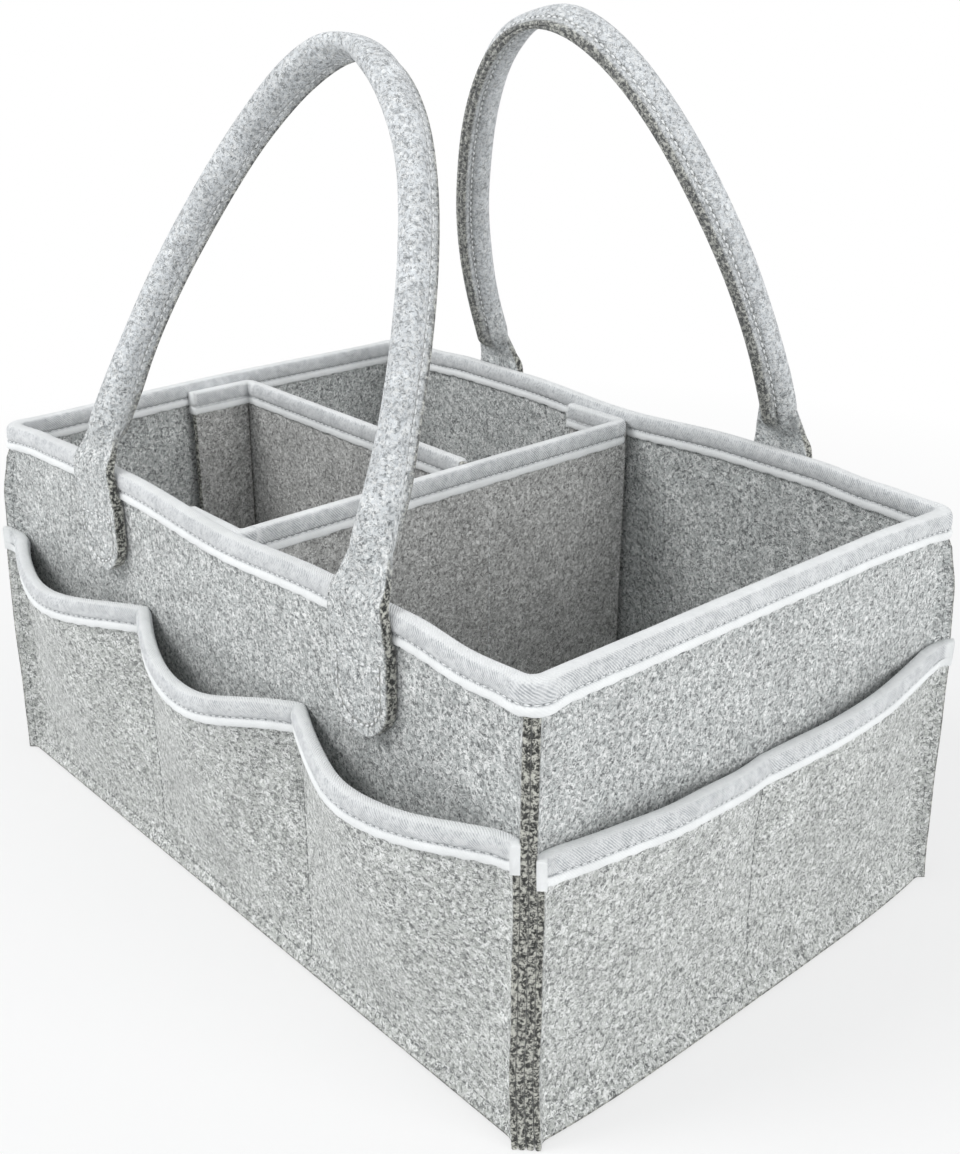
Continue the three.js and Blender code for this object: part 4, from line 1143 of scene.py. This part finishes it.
def handle_section(width, felt_half, tube, ridge, swell=1.0):
    """Side places, distances inwards and marks of the folded strip round its cord: its cut edges, and painted
    shade in the ridge's stitch grooves.

    tube goes from 0 for a flat strip to 1 for a full round, and ridge from 0 to 1 for the ridge.
    """
    round_half = TUBE_RADIUS * (0.72 + 0.28 * tube) * swell
    reach = max(width / 2, round_half if tube > 0 else 0.0)

    def half_thick(s):
        strip = felt_half * np.sqrt(np.clip(1 - np.abs(2 * s / width) ** 40, 0, 1))
        cord = TUBE_RADIUS * math.sqrt(max(0.0, 1 - (1 - tube) ** 2))
        cord = cord * np.sqrt(np.clip(1 - (s / round_half) ** 2, 0, 1))
        return (strip ** 5 + cord ** 5) ** (1 / 5)

    def edge_mark(s):
        flank = np.interp(np.abs(s) / reach, [0.94, 0.97, 0.985], [0, 0.7, 1.0])
        return flank * (1 - tube) if reach > 1 else flank * 0 + 1

    s_out = reach * np.concatenate([[-1.0], OUTWARD, [1.0]])
    s_in = reach * INWARD
    off = np.abs(s_in)
    raised = RIDGE_PROUD * np.sqrt(np.clip(1 - (off / RIDGE_HALF) ** 12, 0, 1))
    raised = raised - 0.5 * np.exp(-((off - RIDGE_SEAM) / 0.45) ** 2) - 0.8 * np.exp(-(s_in / 0.4) ** 2)
    side = np.concatenate([s_out, s_in])
    inward = np.concatenate([-half_thick(s_out), half_thick(s_in) + ridge * raised])
    # Painted shade along the stitch grooves beside the ridge; the top of the ridge is the real dark cut edge.
    seam_groove_shade = 0.6 * np.exp(-((off - RIDGE_SEAM) / 0.5) ** 2)
    ridge_edge_and_groove_shade = ridge * (0.85 * np.interp(off, [2.9, 3.15], [1.0, 0.0]) + seam_groove_shade)
    marks = np.concatenate([edge_mark(s_out), np.maximum(edge_mark(s_in), ridge_edge_and_groove_shade)])
    return side, inward, marks


# %% [markdown]
# The middle of the handle is a line from one tab over the arch to the other. At the rim it leans
# over inwards. These functions give the line, and how the tube is pressed and turned along it.

# %% The line of a handle
ARCH_HALF, ARCH_RISE = 95.0, 196.0  # half the ellipse's width, and its height above the hinge


def lean_over(y, h, at):
    """Bends the upright strip over at the rim: y is inwards from the hinge line, h above it."""
    angle = at["lean"] * ease((np.asarray(h) + 6) / 14)
    return (at["hinge"] + at["sign"] * (y * np.cos(angle) + h * np.sin(angle)),
            HINGE_Z + h * np.cos(angle) - y * np.sin(angle))


def smooth_through(places, values, at):
    """A smooth curve through a row of values, level at its ends."""
    slopes = np.gradient(values, places)
    slopes[0] = slopes[-1] = 0
    k = np.clip(np.searchsorted(places, at, side="right") - 1, 0, len(places) - 2)
    step = places[k + 1] - places[k]
    t = np.clip((at - places[k]) / step, 0, 1)
    return (values[k] + (values[k + 1] - values[k]) * ease(t)
            + t * (1 - t) * step * ((1 - t) * slopes[k] - t * slopes[k + 1]))


def arch_line(a, at):
    """The middle of a handle's arch at an angle: along the basket, and above the hinge."""
    degrees, along, up = np.array(at["bend"]).T
    x = at["shift"] - ARCH_HALF * np.cos(a) + smooth_through(degrees, along, np.degrees(a))
    return x, ARCH_RISE * np.sin(a) + smooth_through(degrees, up, np.degrees(a))


def squeeze(a, at):
    """Factors for the tube's width in the arch and its depth: it is flat where it bends most."""
    h = ARCH_RISE * np.sin(a)
    flat = 0.12 * ease((h - 120) / 60) + 0.33 * np.exp(-((a - 1.5) / 0.17) ** 2)
    slim = np.where(a < math.pi / 2, at["slim"][0], at["slim"][1])
    depth = 1 - slim * ease((h - 30) / 40) * ease((193 - h) / 40)
    return depth * (1 - flat), depth


def seam_turn(a, h, at):
    """How far the seam is turned out of the middle, towards the right end of the basket."""
    share = np.sign(np.cos(a)) * np.abs(np.cos(a)) ** 0.7
    return math.radians(at["seam_turn"]) * share * ease((h - 16) / 40)


# %% [markdown]
# The loft sets a section at each step of the line. On the tabs the stitches pull the felt in, in a
# line round the edge and one across, and the groove of the line round the edge gets painted shade. The last
# and first rows are closed with a flat fan.

# %% Loft a handle
TAB_INSET, TAB_CROSS, TAB_LINE_TOP = 4.4, -24.5, -21.5  # the tab's stitches: from its edge, and heights


def handle_points(at):
    """All sections of one handle from the left tab's tip over the arch to the right tab's tip."""
    rows, marks = [], []

    def pressed(side, h, drop):
        """How near a place on the tab's outer face is to its stitch lines."""
        low, radius = -drop + TAB_ROUND, TAB_ROUND - TAB_INSET
        off_u = np.where(h < low, np.abs(np.hypot(side, h - low) - radius), np.abs(np.abs(side) - radius))
        off_u = off_u + 9 * (h > TAB_LINE_TOP)
        off_cross = np.abs(h - TAB_CROSS) + 9 * (np.abs(side) > radius)
        return np.exp(-(off_u / 0.8) ** 2), np.exp(-(off_cross / 0.8) ** 2)

    def put(x, h, direction, section, drop=0.0, twist=0.0):
        side, inward, mark = section
        if drop:
            round_line, cross_line = pressed(side, h, drop)
            inward = inward + 0.6 * np.maximum(round_line, cross_line) * (inward < -1)
            # The stitch line round the tab's edge is darkened: painted shade in its groove.
            mark = np.maximum(mark, 0.62 * round_line * (inward < -1))
        if twist:
            side, inward = (side * math.cos(twist) + inward * math.sin(twist),
                            inward * math.cos(twist) - side * math.sin(twist))
        across = np.array([direction[1], -direction[0]]) / np.linalg.norm(direction)
        y, z = lean_over(tab_centre(h) + inward, h + side * across[1], at)
        rows.append(np.stack([x + side * across[0], y, z], -1))
        marks.append(mark)

    def tab_rows(tab, upward):
        x, drop = tab
        from_tip = np.concatenate([CUT_STEPS * 0.8, [1.2, 1.6], np.linspace(2.2, 16.8, 21),
                                   np.linspace(17.5, drop - 0.8, 50)])
        for t in from_tip[::upward]:
            h = t - drop
            width = tab_width(h)
            if t < TAB_ROUND:
                width *= math.sqrt(max(1 - (1 - t / TAB_ROUND) ** 2, 1e-6))
            rounded = tab_half(h) * float(np.clip(cut_fill(np.array(t)), 0.02, 1))
            put(x, h, (0.0, 1.0 * upward), handle_section(width, rounded, 0.0, 0.0), drop)

    def arch_rows():
        near = np.arange(0.0, 0.150, 0.0055)
        angles = np.concatenate([near, np.linspace(0.152, math.pi - 0.152, 119), math.pi - near[::-1]])
        line = np.stack(arch_line(angles, at), 1)
        for a, (x, h), direction in zip(angles, line, np.gradient(line, angles, axis=0)):
            tube = float(np.clip((h - 8.5) / 12.5, 0, 1))
            ridge = float(ease((h - 9.0) / 11.0))
            swell = 1 + 0.28 * float(1 - ease((h - 10) / 50))
            side, inward, mark = handle_section(tab_width(h), tab_half(h), tube, ridge, swell)
            width, depth = squeeze(a, at)
            put(x, h, direction, (side * width, inward * depth, mark), twist=float(seam_turn(a, h, at)))

    tab_rows(at["tabs"][0], 1)
    arch_rows()
    tab_rows(at["tabs"][1], -1)
    return np.array(rows), np.array(marks)


def loft(rows, marks):
    """The handle's skin and its two ends, from the sections."""
    closed = np.concatenate([rows, rows[:, :1]], 1)
    closed_marks = np.concatenate([marks, marks[:, :1]], 1).astype(float)
    place = path_depth(rows.mean(1))
    around = path_depth(closed)
    uv = np.stack([around, np.broadcast_to(place[:, None], around.shape)], -1)
    ends = []
    for k in (0, -1):
        middle = np.broadcast_to(rows[k].mean(0), closed[k].shape)
        ends.append((np.stack([closed[k], middle], 0), np.stack([uv[k], uv[k]], 0), 1.0))
    return [(closed, uv, closed_marks)] + ends


# %% [markdown]
# Each handle has its hinge line, its two tabs (their place along the basket and their length), its
# lean, and its table of bends: degrees round the arch, then millimetres along the basket and up.

# %% Make both handles
HANDLES = {
    "front_handle": dict(
        hinge=-(HALF_WIDTH + HINGE_OUT), tabs=((-89.5, 50.5), (102.5, 54.5)), lean=math.radians(25), sign=1,
        shift=3.5, seam_turn=34.0, slim=(0.1, 0.13),
        bend=[(0, 2.0, 0), (10, 1.3, -0.4), (24, 1.2, -1.4), (40, 1.9, -3.1), (55, 1.0, -2.5),
              (68, 0.1, -0.4), (80, -0.1, 0.3), (90, -0.1, -1.4), (100, -0.4, -4.2), (112, -1.2, -5.8),
              (125, -1.7, -5.0), (140, -2.2, -3.7), (156, -1.2, -1.7), (170, 1.3, -0.3), (180, 4.0, 0)]),
    "back_handle": dict(
        hinge=HALF_WIDTH + HINGE_OUT, tabs=((-98.0, 52.5), (95.0, 52.5)), lean=math.radians(19.5), sign=-1,
        shift=0.0, seam_turn=0.0, slim=(-0.06, 0.03),
        bend=[(0, -3.0, 0), (10, -3.9, 3.1), (24, -2.9, 2.9), (40, 0, -0.4), (55, 0.9, -2.5), (68, 0.6, -2.6),
              (80, 0.2, -1.7), (90, 0, -0.5), (100, 0, 0.4), (112, 0, 0.3), (125, -0.1, -0.2), (140, 0, 0),
              (156, 1.5, 1.3), (170, 1.8, 1.3), (180, 0, 0)]),
}
for name, at in HANDLES.items():
    rows, marks = handle_points(at)
    piece = make_piece(name, loft(rows, marks), HANDLE)
    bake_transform(piece)
    end = name.split("_")[0]
    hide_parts(name + "_sleeve", name + "_core", end + "_left_tab", end + "_right_tab")

# %% [markdown]
# ## Stitching
# A lockstitch shows as a row of short plump threads, each sunk at its ends. One small node tree
# lays such a row along any line: it spaces points along the line, puts a stretched bead on each,
# turned along the line and tilted a little by chance, and makes the result a plain mesh.

# %% The stitch tool
stitch_tree = bpy.data.node_groups.new("row of stitches", "GeometryNodeTree")
SOCKETS = {}
for label, kind, value in [("Line", "NodeSocketGeometry", None), ("Pitch", "NodeSocketFloat", 0.0034),
                           ("Length", "NodeSocketFloat", 0.0026), ("Thickness", "NodeSocketFloat", 0.0006),
                           ("Seed", "NodeSocketInt", 7), ("Thread", "NodeSocketMaterial", None)]:
    socket = stitch_tree.interface.new_socket(label, in_out="INPUT", socket_type=kind)
    if value is not None:
        socket.default_value = value
    SOCKETS[label] = socket.identifier
stitch_tree.interface.new_socket("Stitches", in_out="OUTPUT", socket_type="NodeSocketGeometry")
row_in, row_out = stitch_tree.nodes.new("NodeGroupInput"), stitch_tree.nodes.new("NodeGroupOutput")
given = row_in.outputs
curve = add(stitch_tree, "GeometryNodeMeshToCurve", {"Mesh": given["Line"]}).outputs[0]
spaced = add(stitch_tree, "GeometryNodeResampleCurve", {"Curve": curve, "Length": given["Pitch"]},
             mode="LENGTH").outputs[0]
bead = add(stitch_tree, "GeometryNodeMeshUVSphere", {"Segments": 6, "Rings": 4, "Radius": 0.5}).outputs[0]
bead_size = add(stitch_tree, "ShaderNodeCombineXYZ", {0: given["Length"], 1: given["Thickness"],
                                                      2: given["Thickness"]}).outputs[0]
bead = add(stitch_tree, "GeometryNodeTransform", {"Geometry": bead, "Scale": bead_size}).outputs[0]
tangent = add(stitch_tree, "GeometryNodeInputTangent").outputs[0]
turned = add(stitch_tree, "FunctionNodeAlignRotationToVector", {"Vector": tangent}, axis="X").outputs[0]
tilt = add(stitch_tree, "FunctionNodeRandomValue",
           {0: (-0.05, -0.1, -0.1), 1: (0.05, 0.1, 0.1), "Seed": given["Seed"]},
           data_type="FLOAT_VECTOR").outputs[0]
tilt = add(stitch_tree, "FunctionNodeEulerToRotation", {"Euler": tilt}).outputs[0]
turned = add(stitch_tree, "FunctionNodeRotateRotation", {"Rotation": turned, "Rotate By": tilt},
             rotation_space="LOCAL").outputs[0]
laid = add(stitch_tree, "GeometryNodeInstanceOnPoints", {"Points": spaced, "Instance": bead,
                                                         "Rotation": turned}).outputs[0]
real = add(stitch_tree, "GeometryNodeRealizeInstances", {"Geometry": laid}).outputs[0]
done = add(stitch_tree, "GeometryNodeSetMaterial", {"Geometry": real, "Material": given["Thread"]}).outputs[0]
stitch_tree.links.new(done, row_out.inputs[0])


def sew(name, body, rows, thread, slot_name, pitch=3.4, length=2.6, thickness=0.6, closed=()):
    """Sews rows of points, each a list of places in mm, and rides them on a body."""
    points, edges, start = [], [], 0
    for k, row in enumerate(rows):
        points += [tuple(p) for p in np.asarray(row) * MM]
        edges += [(start + i, start + i + 1) for i in range(len(row) - 1)]
        if k in closed:
            edges.append((start + len(row) - 1, start))
        start += len(row)
    line = bpy.data.meshes.new(name + "_line")
    line.from_pydata(points, edges, [])
    holder = put_in_scene(name + "_line", line)
    modifier = holder.modifiers.new("stitches", "NODES")
    modifier.node_group = stitch_tree
    for label, value in [("Pitch", pitch * MM), ("Length", length * MM), ("Thickness", thickness * MM),
                         ("Seed", 7), ("Thread", thread)]:
        modifier[SOCKETS[label]] = value
    graph = bpy.context.evaluated_depsgraph_get()
    data = bpy.data.meshes.new_from_object(holder.evaluated_get(graph))
    bpy.data.objects.remove(holder)
    data.shade_smooth()
    dress(put_in_scene(name, data), body, slot_name)
    print(f"{name}: {len(rows)} rows, {len(data.polygons)} faces")


# %% [markdown]
# ## Where the stitches run
# The tapes are sewn through in their groove. The pockets are sewn to the walls between the bays and
# along the base, and each fin is sewn from top to bottom. A tab has a line round its edge and one
# across it. The two raw edges of a handle are closed by a row on each side of the ridge.

# %% Sew the basket
STAND_OFF = 0.12  # of a thread from felt that it has pulled in
GROOVE_SKIN = 0.95  # of a thread in a tape's groove from the felt
FIN_SEAM = 4.2  # from a fin's edge to its stitches
groove_drop = np.array([0, 0, GROOVE])
groove_push = 0.5 + 0.5 * float(ease((GROOVE - 3) / 5))
rim_rows = []
for way in (1, -1):
    shift = way * (WALL_FELT / 2 + GROOVE_SKIN) + (over_fin * groove_push if way > 0 else 0)
    rim_rows.append(settle(rim_centre + rim_out * shift - groove_drop))
sew("rim_stitches", "caddy", rim_rows, THREAD, "binding_tape", closed=(0, 1))

pocket_tape_rows, pocket_rows, fin_rows = [], [], []
for side_name, side in SIDES.items():
    centre, out = pocket_tape_lines[side_name]
    line = centre + out * (POCKET_FELT / 2 + GROOVE_SKIN) - groove_drop
    pocket_tape_rows.append(settle(line[6:-6]))
    skin = POCKET_FELT / 2 + POCKET_FELT * (1 - PINCH) / 2 + STAND_OFF
    for seam in bay_seams(side):
        z = np.arange(8.0, float(pocket_top(side, np.array([seam]))[0]) - 12.5, 2.0)
        v = pocket_stand(side, np.full(len(z), seam), z) + skin
        pocket_rows.append(settle(to_world(side, seam, v, z)))
    u = np.arange(-pocket_bend(side) + 1, pocket_bend(side) - 1, 2.2)
    z = np.full(len(u), BASE_STITCH_HEIGHT)
    spread = 1 + flare(z) / pocket_bend(side)
    pocket_rows.append(settle(to_world(side, u * spread, pocket_stand(side, u, z) + skin, z)))
    for end in (-1, 1):
        for low, high, across in ((6.0, side["height"] - 15, WALL_FIN + POCKET_FIN),
                                  (side["height"] + 3, 168.0, WALL_FIN)):
            z = np.arange(low, high, 2.0)
            reach = fin_reach(z) - FIN_SEAM
            plan_u = end * (side["half"] + (reach - across) / math.sqrt(2))
            fin_rows.append(settle(to_world(side, plan_u, (reach + across) / math.sqrt(2), z)))
sew("pocket_tape_stitches", "caddy", pocket_tape_rows, THREAD, "binding_tape")
sew("pocket_seam_stitches", "caddy", pocket_rows, SHADE_THREAD, "pocket_felt", thickness=0.5)
sew("fin_stitches", "caddy", fin_rows, SHADE_THREAD, "wall_felt", thickness=0.4)

# %% [markdown]
# The tabs' stitches stay with the basket and the ridge's turn with the handle. Both follow the same
# functions as the felt under them, so they lie on it without a search for its surface.

# %% Sew the tabs and the ridges
for name, at in HANDLES.items():
    tab_lines = []
    for x, drop in at["tabs"]:
        tip, radius = -drop, TAB_ROUND - TAB_INSET
        angles = np.radians(np.linspace(180, 360, 25))
        arc = np.stack([radius * np.cos(angles), tip + TAB_ROUND + radius * np.sin(angles)], 1)
        rise = np.arange(tip + TAB_ROUND, TAB_LINE_TOP, 2.0)
        u_line = np.concatenate([np.stack([-radius + 0 * rise, rise], 1)[::-1], arc[1:-1],
                                 np.stack([radius + 0 * rise, rise], 1)])
        cross_line = np.stack([np.linspace(-radius + 1.5, radius - 1.5, 12), np.full(12, TAB_CROSS)], 1)
        for shape in (u_line, cross_line):
            inward = np.array([tab_centre(h) - tab_half(h) + 0.1 for h in shape[:, 1]])
            y, z = lean_over(inward, shape[:, 1], at)
            tab_lines.append(np.stack([x + shape[:, 0], y, z], 1))
    sew(name + "_tab_stitches", "caddy", tab_lines, THREAD, "handle_felt", thickness=1.0)
    ridge_rows = []
    a = np.linspace(0.13, math.pi - 0.13, 170)
    x0, h0 = arch_line(a, at)
    tangent_x, tangent_h = np.gradient(x0, a), np.gradient(h0, a)
    length = np.hypot(tangent_x, tangent_h)
    turn, (width, depth) = seam_turn(a, h0, at), squeeze(a, at)
    for s in (-RIDGE_SEAM, RIDGE_SEAM):
        side, inward = s * width, (math.sqrt(TUBE_RADIUS ** 2 - s ** 2) + 0.05) * depth
        side, inward = (side * np.cos(turn) + inward * np.sin(turn),
                        inward * np.cos(turn) - side * np.sin(turn))
        y, z = lean_over(tab_centre(ARCH_RISE) + inward, h0 - side * tangent_x / length, at)
        ridge_rows.append(np.stack([x0 + side * tangent_h / length, y, z], 1))
    sew(name + "_ridge_stitches", name, ridge_rows, THREAD, "handle_felt", thickness=1.0)

# %% [markdown]
# The divider's tapes are sewn through from side to side, so each has a row on both of its faces. Two
# more rows run down the seam that holds the two panels together.

# %% Sew the divider


def tape_rows(start, end, out):
    share = np.linspace(0.01, 0.99, 40)[:, None]
    plan = np.array(start) + (np.array(end) - np.array(start)) * share
    shift = (DIVIDER_FELT / 2 + 0.75) * np.array(out)
    return [at_level(plan + way * shift, TOP_EDGE - GROOVE) for way in (1, -1)]


seam_z = np.linspace(18, 156, 60)
seam_rows = [np.stack([np.full(60, x), np.full(60, 22.0), seam_z], 1) for x in (8.0, 0.3)]
sew("insert_stitches", "insert", tape_rows(*CROSS_TAPE, (1, 0)) + seam_rows, THREAD, "binding_tape")
sew("long_divider_stitches", "long_divider", tape_rows(*LONG_TAPE, (0, 1)), THREAD, "binding_tape")
for name, start, end, out in [("front_flap", (-2, -SIDE_FLAP_Y), (-29, -SIDE_FLAP_Y), (0, 1)),
                              ("back_flap", (-2, SIDE_FLAP_Y), (-29, SIDE_FLAP_Y), (0, 1)),
                              ("left_flap", (END_FLAP_X, 5.0), (END_FLAP_X, -22.0), (1, 0))]:
    sew(name + "_stitches", name, tape_rows(start, end, out), THREAD, "binding_tape")

# %% [markdown]
# ## Light and floor
# The photograph was taken in soft daylight, so the basket stands on a pale floor under large soft
# lights. The key light comes from the front left and above, and a weaker fill from the right keeps
# the end wall readable. The floor and the room look plain white to the camera, and the floor turns
# a soft grey only near the basket, where its shadow falls.

# %% Light the basket


def seen_directly(tree):
    """1 for a ray that comes from the camera, straight or by way of a gloss or a clear pane."""
    rays = add(tree, "ShaderNodeLightPath").outputs
    seen = maths(tree, "MAXIMUM", rays["Is Camera Ray"], rays["Is Glossy Ray"])
    return maths(tree, "MAXIMUM", seen, rays["Is Transmission Ray"])


def plain_white(tree, kind):
    return add(tree, kind, {"Color": (1, 1, 1, 1), "Strength": 1.0}).outputs[0]


def shared(tree, share, first, second, output):
    """Sends a mix of two shaders to the tree's output node."""
    made = add(tree, "ShaderNodeMixShader", {0: share, 1: first, 2: second})
    tree.links.new(made.outputs[0], tree.nodes[output].inputs["Surface"])


floor_data = bpy.data.meshes.new("floor")
floor_data.from_pydata([(-6, -6, 0), (6, -6, 0), (6, 6, 0), (-6, 6, 0)], [], [(0, 1, 2, 3)])
floor = put_in_scene("floor", floor_data)
floor.location.z = -0.0002
floor_material, tree, shader = new_material("plain floor")
shader.inputs["Base Color"].default_value = (0.84, 0.84, 0.84, 1)
where = add(tree, "ShaderNodeTexCoord").outputs["Object"]
away = add(tree, "ShaderNodeVectorMath", {0: where}, operation="LENGTH").outputs["Value"]
share = times(tree, seen_directly(tree), ramp(tree, away, 0.28, 0.8, 0.62, 1.0))
shared(tree, share, shader.outputs[0], plain_white(tree, "ShaderNodeEmission"), "Material Output")
floor_data.materials.append(floor_material)

world = bpy.data.worlds.new("studio")
bpy.context.scene.world = world
world.use_nodes = True
tree = world.node_tree
room = tree.nodes["Background"]
room.inputs["Color"].default_value = (0.97, 0.985, 1.0, 1)
room.inputs["Strength"].default_value = 0.62
shared(tree, seen_directly(tree), room.outputs[0], plain_white(tree, "ShaderNodeBackground"), "World Output")


def lamp(name, place, aim, size, power):
    data = bpy.data.lights.new(name, "AREA")
    data.shape, data.size, data.energy = "DISK", size, power
    made = put_in_scene(name, data)
    made.location = place
    made.rotation_euler = (Vector(aim) - Vector(place)).to_track_quat("-Z", "Y").to_euler()


lamp("key", (-0.7, -1.5, 1.7), (0, 0, 0.12), 1.0, 23.5)
lamp("fill", (1.9, 0.35, 1.0), (0, 0, 0.12), 1.2, 15)
bpy.context.scene.view_settings.view_transform = "Standard"
print("lights:", len(bpy.data.lights), "and a white room")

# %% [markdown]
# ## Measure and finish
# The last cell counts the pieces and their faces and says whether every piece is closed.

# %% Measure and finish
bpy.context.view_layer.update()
open_pieces = [name for name, _, open_edges in report if open_edges]
print("pieces:", len(report), "faces:", sum(faces for _, faces, _ in report), "open:", open_pieces)
